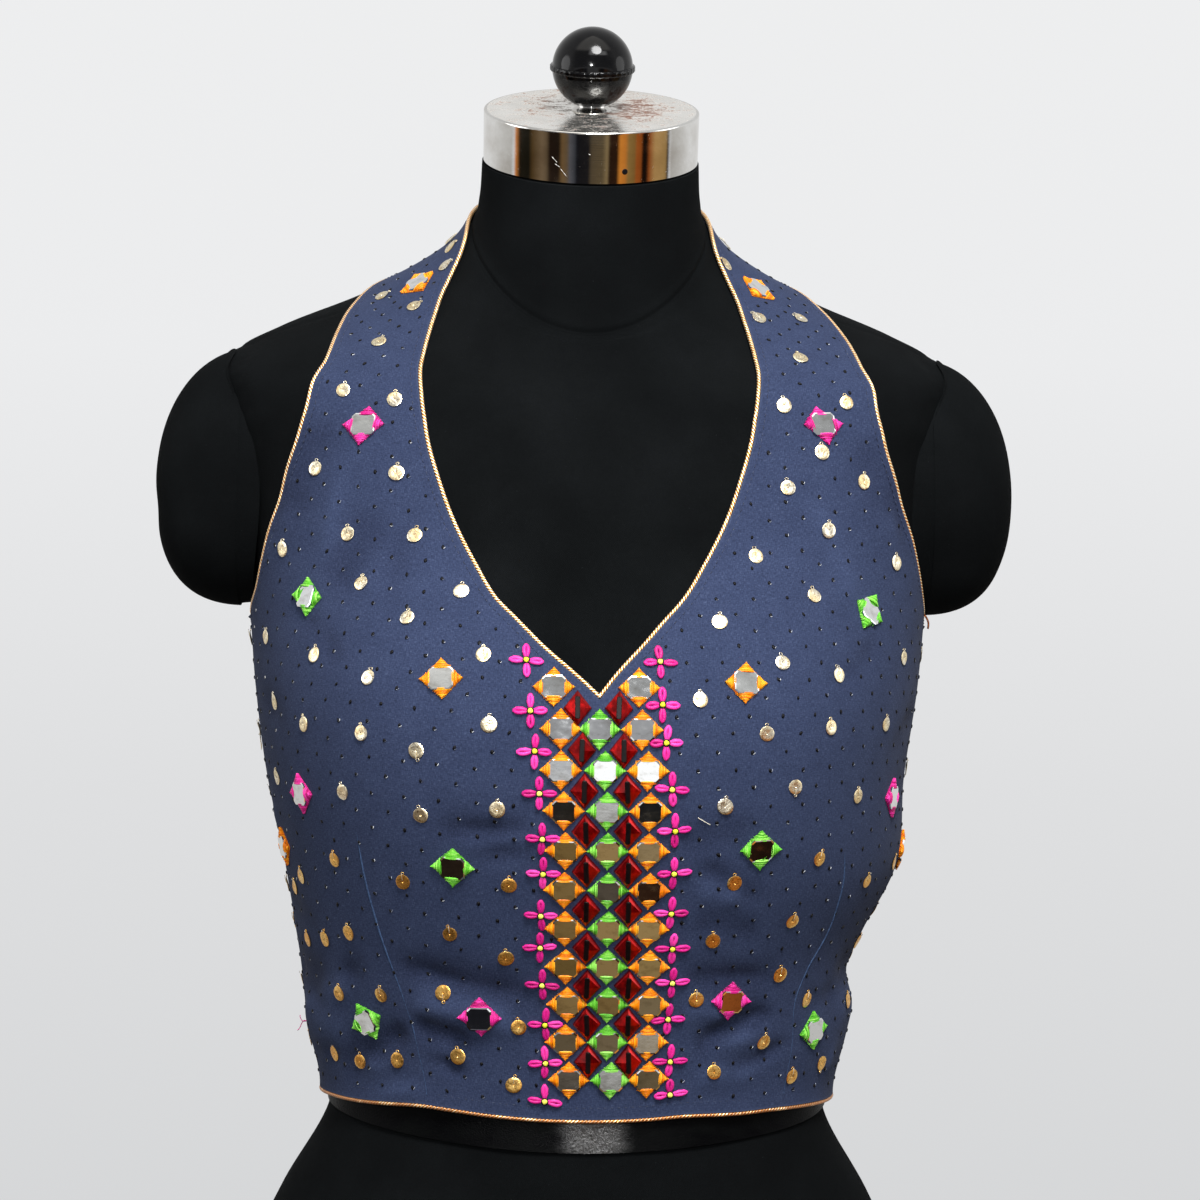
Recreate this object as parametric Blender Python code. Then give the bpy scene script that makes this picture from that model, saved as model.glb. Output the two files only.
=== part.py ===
"""Halter choli blouse worn on a limbless dress form.

The blouse is a wall of cloth: one front with its two halter straps, a low back in two halves, corded
piping on every edge, a centre band of mirror work and mirrors scattered over the panels. The form is a
padded figure with a waist band, two arm caps, a neck, a metal neck cap and a ball knob.

Sizes are in millimetres and become metres where a mesh is made. +Z is up, the blouse faces -Y, and the
origin is under the figure's axis on the surface that the form stands on. Two coordinates place a point
on the figure: turn, the angle round it in degrees (0 is the centre front, 90 is the side at +X, 180 is
the centre back), and level, its place in the SECTIONS table (10.5 is halfway from row 10 to row 11).
"""

import math
from collections import namedtuple

import bmesh
import bpy
import numpy as np

MM = 0.001

# ---------------------------------------------------------------- driving sizes

WALL = 1.4  # thickness of the cloth with its lining
CLEAR = 0.5  # cloth's inner face off the cloth figure
GAP = 0.3  # between touching pieces
PLATE_GAP = 0.5  # under the mirrors, which bridge small hollows of the cloth
PIPE_RADIUS = 1.05
CORD_SHORT = 0.2  # each cord's end stops short of the seam
V_MITRE = 1.3  # the neckline's cord stands further off the point of the V
HEM_LEVEL = 6.15
V_LEVEL = 10.92
SIDE_SEAM = 95.0  # turn of the side seams
SEAM_TURN = 0.12  # the seam's gap, as a turn
STRAP_END = 187.0  # the straps lap behind the neck
BACK_END = 184.5  # and the back halves lap down the centre back
LAP_LIFT = 2 * PIPE_RADIUS + GAP  # the upper layer of a lap
LAP_RAMP = 12.0  # the turn over which it rises

V_ROW = 16  # rows of the front: hem to the point of the V,
UNDERARM_ROW = 19  # hem to the underarm corner,
STRAP_ROW = 50  # hem to the end of the strap
HALF_COLUMNS = 14
BACK_ROWS = 16
BACK_COLUMNS = 12
BACK_CROWDING = 1.3  # its columns are closer together towards the lap

DIAMOND_WIDE = 18.1  # one diamond of stitching round a mirror
DIAMOND_TALL = 17.3
BAND_ROWS = 11  # mirrors in each outer column of the band
BAND_BOTTOM = 248.8  # height of its lowest mirrors
MIRROR_WIDE = 10.4
MIRROR_TALL = 9.6
MIRROR_CLIP = 2.3  # cut off each corner of a mirror
STONE_WIDE = 12.4
STONE_TALL = 15.8
EDGE_RISE = 1.2  # heights above the cloth: the diamonds' edges,
THREAD_RISE = 2.0  # the stitches round the mirror,
GLASS_RISE = 1.7  # the mirror,
STONE_RIM = 2.6  # the stone's rim
STONE_PEAK = 4.2  # and its peak

# ---------------------------------------------------------------- the figure

Section = namedtuple(
    "Section",
    "name side_z front_z back_z half_width front_y back_y squareness sway"
    " ease_side ease_front ease_back",
)
SECTIONS = (
    Section("base", 0, 0, 0, 160, -95, 107, 2.3, 0, 2, 2, 2),
    Section("foot", 12, 12, 12, 165, -99, 111, 2.3, 0, 2, 2, 2),
    Section("low hip", 50, 50, 50, 173, -104, 121, 2.3, 0, 2, 2, 2),
    Section("hip", 95, 95, 95, 173, -106, 123, 2.3, 0, 2, 2, 2),
    Section("high hip", 140, 140, 140, 158, -101, 108, 2.3, 0, 2, 2, 2),
    Section("below waist", 185, 185, 185, 137, -92, 90, 2.3, 0, 2, 2, 2),
    Section("waist", 226, 226, 226, 115, -84, 77, 2.3, 0, 3.5, 3.5, 3.5),
    Section("above waist", 262, 262, 262, 118.5, -86, 83, 2.3, 0, 5.5, 5, 5),
    Section("ribs", 300, 300, 300, 124.5, -91, 92, 2.3, -1, 4, 4, 4),
    Section("under bust", 340, 340, 340, 137, -97, 99, 2.3, 5, 4.5, 3, 3),
    Section("bust", 380, 380, 380, 144.5, -102, 105, 2.3, 2, 2.8, 2.5, 2.5),
    Section("over bust", 420, 420, 420, 149.5, -103, 108, 2.3, 2, 3.5, 2, 2.2),
    Section("underarm", 458, 458, 458, 153.5, -97, 109, 2.35, 2, 3, 1.8, 2),
    Section("armhole", 494, 492, 496, 157.5, -89, 107, 2.4, 1, 2, 1.8, 1.8),
    Section("chest", 527, 520, 531, 163, -82, 102, 2.4, 0, 1.8, 1.8, 1.8),
    Section("high chest", 552, 537, 562, 170, -77, 95, 2.3, 0, 1.8, 1.8, 1.8),
    Section("shoulder tip", 571, 549, 588, 170, -73, 87, 2.2, 0, 1.8, 1.8, 1.8),
    Section("outer shoulder", 583, 557, 606, 148, -70, 79, 2.1, 0, 1, 1.5, 1.8),
    Section("shoulder", 593, 564, 621, 118, -67, 71, 2.05, 0, 0.7, 1.2, 1.7),
    Section("inner shoulder", 604, 570, 634, 90, -65, 64, 2, 0, 0.6, 1.2, 1.3),
    Section("neck side", 618, 576, 645, 67, -63.5, 57, 2, 0, 0.6, 1.2, 1.3),
    Section("neck base", 633, 580, 655, 55, -62, 50, 2, 0, 0.8, 1.2, 1.4),
    Section("neck", 648, 612, 667, 51.5, -60, 44, 2, 0, 1.8, 1.8, 1.8),
    Section("under cap", 664.5, 646, 683, 50.5, -59, 38, 2, 0, 1.8, 1.8, 1.8),
)
LEVELS = np.arange(len(SECTIONS), dtype=float)
SECTION_SIZES = np.array([section[1:] for section in SECTIONS], dtype=float)
CAP_LEVEL = 23.0

CUP_X = 84.0  # the bust: a soft rise either side of the centre front
CUP_Z = 398.0
CUP_RISE = 25.0
CupReach = namedtuple("CupReach", "inner outer up down soft")
CUP_OF_FORM = CupReach(96, 80, 92, 80, 16)
CUP_OF_CLOTH = CupReach(210, 96, 100, 150, 45)  # the cloth bridges from cup to cup
CUP_FACING = 0.6  # share of the depth over which a cup fades into the side

# ---------------------------------------------------------------- the cut of the blouse

Centre = namedtuple("Centre", "level turn")
CENTRE_LINE = (  # the blouse sits a little turned on the form, more so towards its hem
    Centre(6.15, 9.0),
    Centre(8.0, 6.5),
    Centre(9.5, 5.0),
    Centre(10.4, 3.9),
    Centre(10.92, 2.6),
    Centre(11.4, 1.0),
    Centre(12.0, 0.0),
)

Neck = namedtuple("Neck", "row turn level")
NECKLINE = (
    Neck(16, 0, 10.92),
    Neck(17.25, 5.6, 11.2),
    Neck(18.4, 11.7, 11.48),
    Neck(19.6, 17.2, 11.77),
    Neck(20.7, 21.8, 12.02),
    Neck(22.2, 26.5, 12.41),
    Neck(24, 32.3, 13.02),
    Neck(25.6, 36.7, 13.68),
    Neck(27.3, 40.3, 14.44),
    Neck(28.6, 43.2, 15.33),
    Neck(29.95, 46.9, 16.44),
    Neck(31.3, 53, 17.83),
    Neck(33.4, 62.3, 19.09),
    Neck(35.2, 71.3, 19.77),
    Neck(36.5, 77.3, 20.22),
    Neck(37.5, 81.8, 20.57),
    Neck(38.7, 88, 20.85),
    Neck(40.2, 102, 20.95),
    Neck(42, 124, 20.95),
    Neck(44, 147, 20.92),
    Neck(45, 157, 20.9),
    Neck(46, 163, 20.9),
    Neck(48, 173, 20.87),
    Neck(50, STRAP_END, 20.85),
)

Arm = namedtuple("Arm", "row turn level shift")
ARMHOLE = (  # shift leans both armholes towards +X, in degrees
    Arm(19, SIDE_SEAM, 11.8, 0),
    Arm(20, 90.7, 11.78, 0.3),
    Arm(21, 86.3, 11.82, 0.6),
    Arm(22, 82, 11.93, 0.9),
    Arm(23.2, 77.6, 12.12, 1.2),
    Arm(24.5, 74.2, 12.44, 1.1),
    Arm(25.9, 71.1, 12.84, 1.0),
    Arm(27.9, 66.8, 13.54, 0.8),
    Arm(30.1, 63.7, 14.56, 0.7),
    Arm(31.8, 64, 15.7, 0.7),
    Arm(33.8, 69.2, 17.06, 1.1),
    Arm(35.8, 79, 17.92, 1.3),
    Arm(37.3, 88, 18.3, 1.0),
    Arm(38.6, 95.5, 18.45, 0.8),
    Arm(40.2, 108, 18.45, 0.5),
    Arm(42, 127, 18.3, 0.2),
    Arm(44, 148, 18.13, 0),
    Arm(45, 157, 18.07, 0),
    Arm(46, 163, 18.04, 0),
    Arm(48, 173, 18.0, 0),
    Arm(50, STRAP_END, 18.0, 0),
)

BackTop = namedtuple("BackTop", "share level")
BACK_TOP = (
    BackTop(0, 11.8),
    BackTop(0.2, 11.62),
    BackTop(0.55, 10.95),
    BackTop(0.85, 10.55),
    BackTop(1, 10.48),
)

Fold = namedtuple("Fold", "name turn_a z_a turn_b z_b half_width rise")
FOLDS = (  # soft ridges (a rise above 0) and troughs, each from a to b
    Fold("left dart to centre", -45, 298, -13, 286, 8, -1.7),
    Fold("ridge under it", -43, 285, -18, 275, 9, 1.2),
    Fold("left waist crease", -42, 271, -31, 264, 7, -1.2),
    Fold("left dart to side", -45, 268, -65, 246, 8, -1.6),
    Fold("left side roll", -62, 268, -84, 262, 9, 1.4),
    Fold("left side crease", -66, 288, -86, 294, 8, -1.5),
    Fold("right waist crease", 26, 295, 49, 293, 8, -1.3),
    Fold("right low crease", 30, 263, 48, 280, 8, -1.5),
    Fold("right side crease", 68, 296, 92, 287, 8, -2.0),
    Fold("right side roll", 70, 276, 92, 272, 9, 1.8),
    Fold("left chest drag", -59, 540, -65, 494, 9, -1.1),
    Fold("left bust drag", -47, 498, -55, 462, 9, -1.1),
    Fold("right chest drag", 60, 535, 66, 498, 9, -0.9),
    Fold("under bust left", -34, 361, -14, 358, 8, -1.0),
    Fold("under bust right", 20, 356, 38, 362, 8, -0.9),
    Fold("back left crease", -108, 292, -140, 282, 9, -1.6),
    Fold("back left roll", -112, 276, -138, 266, 9, 1.3),
    Fold("back left low crease", -150, 262, -172, 254, 8, -1.2),
    Fold("back right crease", 106, 288, 143, 291, 9, -1.7),
    Fold("back right roll", 110, 270, 135, 276, 9, 1.3),
    Fold("back right low crease", 148, 252, 170, 264, 8, -1.2),
)
FIGURE_RADIUS = 130.0  # takes a fold's turn to a length

Mirror = namedtuple("Mirror", "name colour turn z turned")
MIRRORS = (
    Mirror("strap_left", "orange", -82.5, 604.5, 3),
    Mirror("strap_right", "orange", 82, 604.5, -4),
    Mirror("chest_left", "magenta", -52.5, 536.3, 4),
    Mirror("chest_right", "magenta", 54.5, 539.8, 0),
    Mirror("arm_left", "green", -60, 459.2, -4),
    Mirror("arm_right", "green", 61.5, 456.2, 28),
    Mirror("bust_left", "orange", -32, 424.5, 3),
    Mirror("bust_right", "orange", 34.5, 424.5, -2),
    Mirror("side_left", "magenta", -64, 372.5, 0),
    Mirror("side_right", "magenta", 71, 372.5, 0),
    Mirror("edge_left", "orange", -74, 346, 0),
    Mirror("edge_right", "orange", 85, 346, 2),
    Mirror("rib_left", "green", -30.5, 343.4, -3),
    Mirror("rib_right", "green", 39.5, 352.2, 2),
    Mirror("waist_left", "magenta", -26.5, 275.7, 0),
    Mirror("waist_right", "magenta", 38.5, 283.2, -3),
    Mirror("hem_left", "green", -55, 270.5, 6),
    Mirror("hem_right", "green", 61.5, 267.5, 8),
    Mirror("back_orange_left", "orange", -118, 404, 2),
    Mirror("back_orange_right", "orange", 119, 402, -3),
    Mirror("back_green_left", "green", -148, 362, -2),
    Mirror("back_green_right", "green", 149, 364, 3),
    Mirror("back_magenta_left", "magenta", -122, 318, 3),
    Mirror("back_magenta_right", "magenta", 121, 320, 0),
    Mirror("back_low_left", "orange", -153, 272, -2),
    Mirror("back_low_right", "orange", 152, 274, 4),
)

# ---------------------------------------------------------------- the form's own pieces

BODY_SIDES = 36
BODY_WAIST_LEVELS = np.arange(5.4, 7.1, 0.3)  # rings of the body: close together at the waist,
BODY_UPPER_LEVELS = np.linspace(7.7, 21, 20)  # and up to the neck seam
NECK_LEVELS = (21, 21.3, 21.7, 22.2, 22.6)
BAND_HALF = 21.0  # the waist band's half height
BAND_SLOPE = 15.0  # its front hangs this far below its sides
BAND_Z = 251.0
BAND_WALL = 1.0
BAND_SIDES = 54
BAND_GAP = 0.7

ARM_Y = 9.0  # an arm cap's centre and half sizes on the figure's side
ARM_Z = 515.5
ARM_HALF_DEEP = 43.0
ARM_HALF_TALL = 60.5
ARM_FACE_X = 150.0
ARM_TIP_X = 201.4
ARM_GAP = 0.7  # over the hollows between the facets of the side
ARM_RIM = 1.4
ARM_RINGS = (0.0, 0.25, 0.48, 0.68, 0.83, 0.94, 1.0)
ARM_SIDES = 24
ARM_SEAM_X = 158.0
ARM_POWER_HIGH = 2.0  # the dome is round above and squarer below
ARM_POWER_LOW = 3.0

CAP_SEAT = SECTIONS[-1]  # the cap lies along the neck's sloping end
CAP_TILT = math.atan2(CAP_SEAT.back_z - CAP_SEAT.front_z, CAP_SEAT.back_y - CAP_SEAT.front_y)
CAP_CLEAR = 0.42  # over the middle of the neck's end, which is very nearly flat
CAP_RADIUS = 50.0
CAP_HEIGHT = 24.0
CAP_BEVEL = 2.2
CAP_SIDES = 48
KNOB_RADIUS = 18.7
KNOB_STEM = 2.5
KNOB_STEM_RADIUS = 8.0
KNOB_FOOT = 1.0  # the stem's foot is wider and this
KNOB_FOOT_TALL = 1.5
KNOB_SEAT = 0.9  # the ball's centre over the stem, as a share of its radius
KNOB_BELOW = (-60, -46.5, -33, -19.5, -6)  # angles of the ball's rings
KNOB_ABOVE = (6, 20.8, 35.6, 50.4, 65.2, 80)
KNOB_FLANGE = 1.0  # the rib round the ball stands out by this and is twice as thick
KNOB_SIDES = 20

Finish = namedtuple("Finish", "colour roughness metallic")
FINISHES = {
    "chambray": Finish((0.045, 0.062, 0.13), 0.85, 0.0),
    "gold_piping": Finish((0.62, 0.43, 0.2), 0.4, 0.7),
    "mirror_work": Finish((0.75, 0.35, 0.06), 0.45, 0.2),
    "orange": Finish((0.95, 0.36, 0.01), 0.6, 0.0),
    "green": Finish((0.3, 0.72, 0.12), 0.6, 0.0),
    "magenta": Finish((0.85, 0.05, 0.35), 0.6, 0.0),
    "jersey": Finish((0.012, 0.013, 0.015), 0.9, 0.0),
    "gloss_tape": Finish((0.008, 0.008, 0.009), 0.25, 0.0),
    "chrome": Finish((0.75, 0.74, 0.72), 0.15, 1.0),
    "gloss_black": Finish((0.006, 0.006, 0.006), 0.12, 0.0),
}


def smooth(places, values, at):
    """A smooth curve through values at places, read at each place of at. Values may have columns."""
    places = np.asarray(places, float)
    values = np.asarray(values, float)
    slopes = np.gradient(values, places, axis=0)
    at = np.clip(np.asarray(at, float), places[0], places[-1])
    row = np.clip(np.searchsorted(places, at, side="right") - 1, 0, len(places) - 2)
    span = places[row + 1] - places[row]
    t = (at - places[row]) / span
    if values.ndim > 1:
        t = t[..., None]
        span = span[..., None]
    return (
        (2 * t**3 - 3 * t**2 + 1) * values[row]
        + (t**3 - 2 * t**2 + t) * span * slopes[row]
        + (3 * t**2 - 2 * t**3) * values[row + 1]
        + (t**3 - t**2) * span * slopes[row + 1]
    )


def ease(share):
    share = np.clip(share, 0, 1)
    return share * share * (3 - 2 * share)


def unit(vectors):
    return vectors / np.linalg.norm(vectors, axis=-1, keepdims=True)


# ---------------------------------------------------------------- surfaces


def cup(x, z, reach):
    across = np.hypot(x, reach.soft) - CUP_X
    up = z - CUP_Z
    wide = np.where(across < 0, reach.inner, reach.outer)
    tall = np.where(up < 0, reach.down, reach.up)
    return CUP_RISE * np.clip(1 - (across / wide) ** 2 - (up / tall) ** 2, 0, 1) ** 2


def figure(turn, level, dressed):
    """Points of the bare form, or of the figure that the cloth follows, in mm."""
    turn, level = np.broadcast_arrays(np.asarray(turn, float), np.asarray(level, float))
    row = smooth(LEVELS, SECTION_SIZES, level)
    side_z, front_z, back_z, half_width, front_y, back_y, power, sway, *eases = np.moveaxis(row, -1, 0)
    if dressed:
        half_width = half_width + eases[0]
        front_y = front_y - eases[1]
        back_y = back_y + eases[2]
    sine = np.sin(np.radians(turn))
    cosine = np.cos(np.radians(turn))
    half_deep = (back_y - front_y) / 2
    reach = (np.abs(sine / half_width) ** power + np.abs(cosine / half_deep) ** power) ** (-1 / power)
    facing = reach * cosine / half_deep
    x = reach * sine + sway * sine**2
    y = (front_y + back_y) / 2 - reach * cosine
    z = side_z - (back_z - front_z) / 2 * facing + ((back_z + front_z) / 2 - side_z) * facing**2
    y = y - cup(x, z, CUP_OF_CLOTH if dressed else CUP_OF_FORM) * ease(facing / CUP_FACING)
    return np.stack([x, y, z], -1)


def figure_normal(turn, level, dressed):
    step_turn = 0.2
    step_level = 0.01
    along = figure(turn + step_turn, level, dressed) - figure(turn - step_turn, level, dressed)
    up = figure(turn, level + step_level, dressed) - figure(turn, level - step_level, dressed)
    return unit(np.cross(along, up))


def folds(turn, z):
    """How far the folds lift the cloth off its plain form."""
    lift = np.zeros(np.broadcast(turn, z).shape)
    per_degree = FIGURE_RADIUS * math.pi / 180
    for fold in FOLDS:
        start = np.array([fold.turn_a * per_degree, fold.z_a])
        run = np.array([fold.turn_b * per_degree, fold.z_b]) - start
        length = np.linalg.norm(run)
        away = np.stack([turn * per_degree, z], -1) - start
        along = away @ run / length**2
        across = (away[..., 0] * run[1] - away[..., 1] * run[0]) / length
        taper = ease(along / 0.35 + 0.3) * ease((1 - along) / 0.35 + 0.3)
        lift = lift + fold.rise * taper * np.exp(-((across / fold.half_width) ** 2))
    return lift


def lap(turn, end):
    """The lift of the right-hand layer where it crosses the left one behind."""
    start = 360 - end
    return LAP_LIFT * ease((turn - start + LAP_RAMP) / (LAP_RAMP - 1))


def cloth(turn, level, height, end=BACK_END):
    """A point of the cloth: height 0 is its inner face, WALL its outer face."""
    turn = np.asarray(turn, float)
    level = np.asarray(level, float)
    place = figure(turn, level, True)
    lift = CLEAR + folds(turn, place[..., 2]) + lap(turn, end) + height
    return place + figure_normal(turn, level, True) * lift[..., None]


def level_at(turn, z, dressed=True):
    """The level at a height z, by halving."""
    low = np.zeros(np.broadcast(turn, z).shape)
    high = np.full(low.shape, LEVELS[-1])
    for _ in range(30):
        middle = (low + high) / 2
        below = figure(turn, middle, dressed)[..., 2] < z
        low = np.where(below, middle, low)
        high = np.where(below, high, middle)
    return (low + high) / 2


# ---------------------------------------------------------------- the panels' outlines


def centre_turn(level):
    return smooth([c.level for c in CENTRE_LINE], [c.turn for c in CENTRE_LINE], level)


def inner_edge(side, row):
    """(turn, level) of the centre front up to the V, then of the neckline."""
    if row <= V_ROW:
        level = HEM_LEVEL + (V_LEVEL - HEM_LEVEL) * row / V_ROW
        return float(centre_turn(level)), level
    turn, level = smooth([n.row for n in NECKLINE], [n[1:] for n in NECKLINE], row)
    return side * turn + float(centre_turn(level)), level


def outer_edge(side, row):
    """(turn, level) of the side seam up to the underarm, then of the armhole."""
    if row <= UNDERARM_ROW:
        level = HEM_LEVEL + (ARMHOLE[0].level - HEM_LEVEL) * row / UNDERARM_ROW
        return side * SIDE_SEAM, level
    turn, level, shift = smooth([a.row for a in ARMHOLE], [a[1:] for a in ARMHOLE], row)
    return side * turn + shift, level


def front_place(side, row, share):
    inner = np.array(inner_edge(side, row))
    outer = np.array(outer_edge(side, row))
    return inner + (outer - inner) * share


def back_place(side, row, share):
    """(turn, level) on a back half: share 0 is the side seam, 1 the centre back."""
    turn = SIDE_SEAM + SEAM_TURN + (BACK_END - SIDE_SEAM - SEAM_TURN) * share
    top = smooth([b.share for b in BACK_TOP], [b.level for b in BACK_TOP], share)
    return side * turn, HEM_LEVEL + (top - HEM_LEVEL) * row / BACK_ROWS


# ---------------------------------------------------------------- meshes


def material(name):
    made = bpy.data.materials.get(name)
    if made:
        return made
    made = bpy.data.materials.new(name)
    made.use_nodes = True
    finish = FINISHES[name]
    shader = made.node_tree.nodes["Principled BSDF"]
    shader.inputs["Base Color"].default_value = (*finish.colour, 1)
    shader.inputs["Roughness"].default_value = finish.roughness
    shader.inputs["Metallic"].default_value = finish.metallic
    return made


def add_object(name, bm, finish, sharp=40):
    """The bmesh, in mm, as a shaded object in metres."""
    bmesh.ops.scale(bm, vec=(MM, MM, MM), verts=bm.verts)
    bmesh.ops.recalc_face_normals(bm, faces=bm.faces)
    mesh = bpy.data.meshes.new(name)
    bm.to_mesh(mesh)
    bm.free()
    mesh.shade_smooth()
    mesh.set_sharp_from_angle(angle=math.radians(sharp))
    mesh.materials.append(material(finish))
    obj = bpy.data.objects.new(name, mesh)
    bpy.context.scene.collection.objects.link(obj)
    return obj


def add_wall(name, finish, outer, inner, faces, inner_faces=None):
    """A wall between two sheets: faces list the keys of the outer sheet's points.

    The inner sheet has the same faces, or plainer ones on the same outline.
    """
    bm = bmesh.new()
    inner_faces = inner_faces or faces
    used = {key for face in inner_faces for key in face}
    outside = {key: bm.verts.new(point) for key, point in outer.items()}
    inside = {key: bm.verts.new(point) for key, point in inner.items() if key in used}
    for face in inner_faces:
        bm.faces.new([inside[key] for key in reversed(face)])
    open_edges = {}
    for face in faces:
        bm.faces.new([outside[key] for key in face])
        for start, end in zip(face, face[1:] + face[:1]):
            if (end, start) in open_edges:
                del open_edges[end, start]
            else:
                open_edges[start, end] = True
    for start, end in open_edges:
        bm.faces.new([outside[end], outside[start], inside[start], inside[end]])
    return add_object(name, bm, finish)


def add_rings(name, finish, rings, bottom, top, sharp=40):
    """A closed body through rings of points, with a centre point at each end."""
    bm = bmesh.new()
    loops = [[bm.verts.new(point) for point in ring] for ring in rings]
    for low, high in zip(loops, loops[1:]):
        for i in range(len(low)):
            j = (i + 1) % len(low)
            bm.faces.new([low[i], low[j], high[j], high[i]])
    for loop, centre in ((loops[0], bottom), (loops[-1], top)):
        middle = bm.verts.new(centre)
        for i in range(len(loop)):
            bm.faces.new([loop[i], loop[(i + 1) % len(loop)], middle])
    return add_object(name, bm, finish, sharp)


def add_cord(name, finish, points):
    """A piping cord: a round tube along the points."""
    curve = bpy.data.curves.new(name, "CURVE")
    curve.dimensions = "3D"
    curve.bevel_depth = PIPE_RADIUS * MM
    curve.bevel_resolution = 1
    curve.use_fill_caps = True
    spline = curve.splines.new("POLY")
    spline.points.add(len(points) - 1)
    for spot, point in zip(spline.points, points):
        spot.co = (*(np.asarray(point) * MM), 1)
    curve.materials.append(material(finish))
    obj = bpy.data.objects.new(name, curve)
    bpy.context.scene.collection.objects.link(obj)
    return obj


# ---------------------------------------------------------------- the blouse


def grid_faces(rows, columns, key):
    return [
        [key(r, c), key(r, c + 1), key(r + 1, c + 1), key(r + 1, c)]
        for r in range(rows)
        for c in range(columns)
    ]


def build_front():
    """The front and its two halter straps, one piece of cloth."""
    outer, inner, faces = {}, {}, []
    for side in (-1, 1):

        def key(row, column):
            return (0, row, 0) if column == 0 and row <= V_ROW else (side, row, column)

        shares = np.linspace(0, 1, HALF_COLUMNS + 1)
        for row in range(STRAP_ROW + 1):
            keys = [key(row, column) for column in range(HALF_COLUMNS + 1)]
            places = np.array([front_place(side, row, share) for share in shares])
            outer.update(zip(keys, cloth(*places.T, WALL, STRAP_END)))
            inner.update(zip(keys, cloth(*places.T, 0, STRAP_END)))
        for face in grid_faces(STRAP_ROW, HALF_COLUMNS, key):
            faces.append(face if side > 0 else face[::-1])
    add_wall("front", "chambray", outer, inner, faces)


def back_shares():
    """The columns of a back half, closer together towards the lap."""
    return 1 - (1 - np.linspace(0, 1, BACK_COLUMNS + 1)) ** BACK_CROWDING


def build_back(side, name):
    """One half of the back, from its side seam to the lap down the centre."""
    outer, inner = {}, {}
    for row in range(BACK_ROWS + 1):
        for column, share in enumerate(back_shares()):
            place = back_place(side, row, share)
            outer[row, column] = cloth(*place, WALL)
            inner[row, column] = cloth(*place, 0)
    faces = grid_faces(BACK_ROWS, BACK_COLUMNS, lambda r, c: (r, c))
    add_wall(name, "chambray", outer, inner, faces if side > 0 else [f[::-1] for f in faces])


def edge_cord(name, edge, hand, end, corner=None):
    """A piping cord beside an edge of the cloth, which is given as (turn, level) places.

    hand is 1 where the cord lies to the left of the way along the edge, seen from outside, and -1
    where it lies to the right. corner is the number of the place where the edge turns sharply.
    """
    places = np.array(edge)
    line = cloth(*places.T, WALL / 2, end)
    along = unit(np.gradient(line, axis=0))
    outward = hand * unit(np.cross(figure_normal(*places.T, True), along))
    away = np.full(len(line), GAP + PIPE_RADIUS)
    if corner is not None:
        away[corner] *= V_MITRE
    line = line + outward * away[:, None]
    line[0] += unit(line[1] - line[0]) * CORD_SHORT
    line[-1] += unit(line[-2] - line[-1]) * CORD_SHORT
    add_cord(name, "gold_piping", line)


def build_pipings():
    above_v = range(V_ROW + 1, STRAP_ROW + 1)
    around = [(-1, row) for row in reversed(above_v)] + [(1, V_ROW)] + [(1, row) for row in above_v]
    edge = [inner_edge(side, row) for side, row in around]
    edge_cord("piping_neckline", edge, 1, STRAP_END, len(above_v))

    shares = np.linspace(1, -1, 2 * HALF_COLUMNS + 1)
    edge = [front_place(-1 if share > 0 else 1, 0, abs(share)) for share in shares]
    edge_cord("piping_hem_front", edge, -1, BACK_END)

    for side, name in ((-1, "left"), (1, "right")):
        edge = [outer_edge(side, row) for row in range(UNDERARM_ROW, STRAP_ROW + 1)]
        edge_cord("piping_armhole_" + name, edge, -side, STRAP_END)
        edge = [back_place(side, BACK_ROWS, share) for share in back_shares()]
        edge_cord("piping_back_" + name, edge, side, BACK_END)
        edge = [back_place(side, 0, share) for share in back_shares()]
        edge_cord("piping_hem_back_" + name, edge, -side, BACK_END)


# ---------------------------------------------------------------- mirror work


def on_cloth(turn, level, across, up, height):
    """Points of the cloth a few mm across and up from (turn, level)."""
    here = figure(turn, level, True)
    per_turn = np.linalg.norm(figure(turn + 1, level, True) - here, axis=-1)
    per_level = np.linalg.norm(figure(turn, level + 0.1, True) - here, axis=-1) / 0.1
    return cloth(turn + across / per_turn, level + up / per_level, height)


def clipped(wide, tall, clip):
    """The eight corners of a mirror, anticlockwise from its right-hand side."""
    x, y = wide / 2, tall / 2
    return [
        (x, -y + clip),
        (x, y - clip),
        (x - clip, y),
        (-x + clip, y),
        (-x, y - clip),
        (-x, -y + clip),
        (-x + clip, -y),
        (x - clip, -y),
    ]


def diamond(corners, glass):
    """Faces of a diamond of stitching round a mirror: corners are right, top, left, bottom keys."""
    faces = []
    for quarter in range(4):
        near = corners[quarter]
        far = corners[(quarter + 1) % 4]
        first = glass[2 * quarter]
        second = glass[2 * quarter + 1]
        third = glass[(2 * quarter + 2) % 8]
        faces += [[near, second, first], [near, far, second], [far, third, second]]
    return faces + [[glass[i], glass[(i + 1) % 8], "centre"] for i in range(8)]


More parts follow.
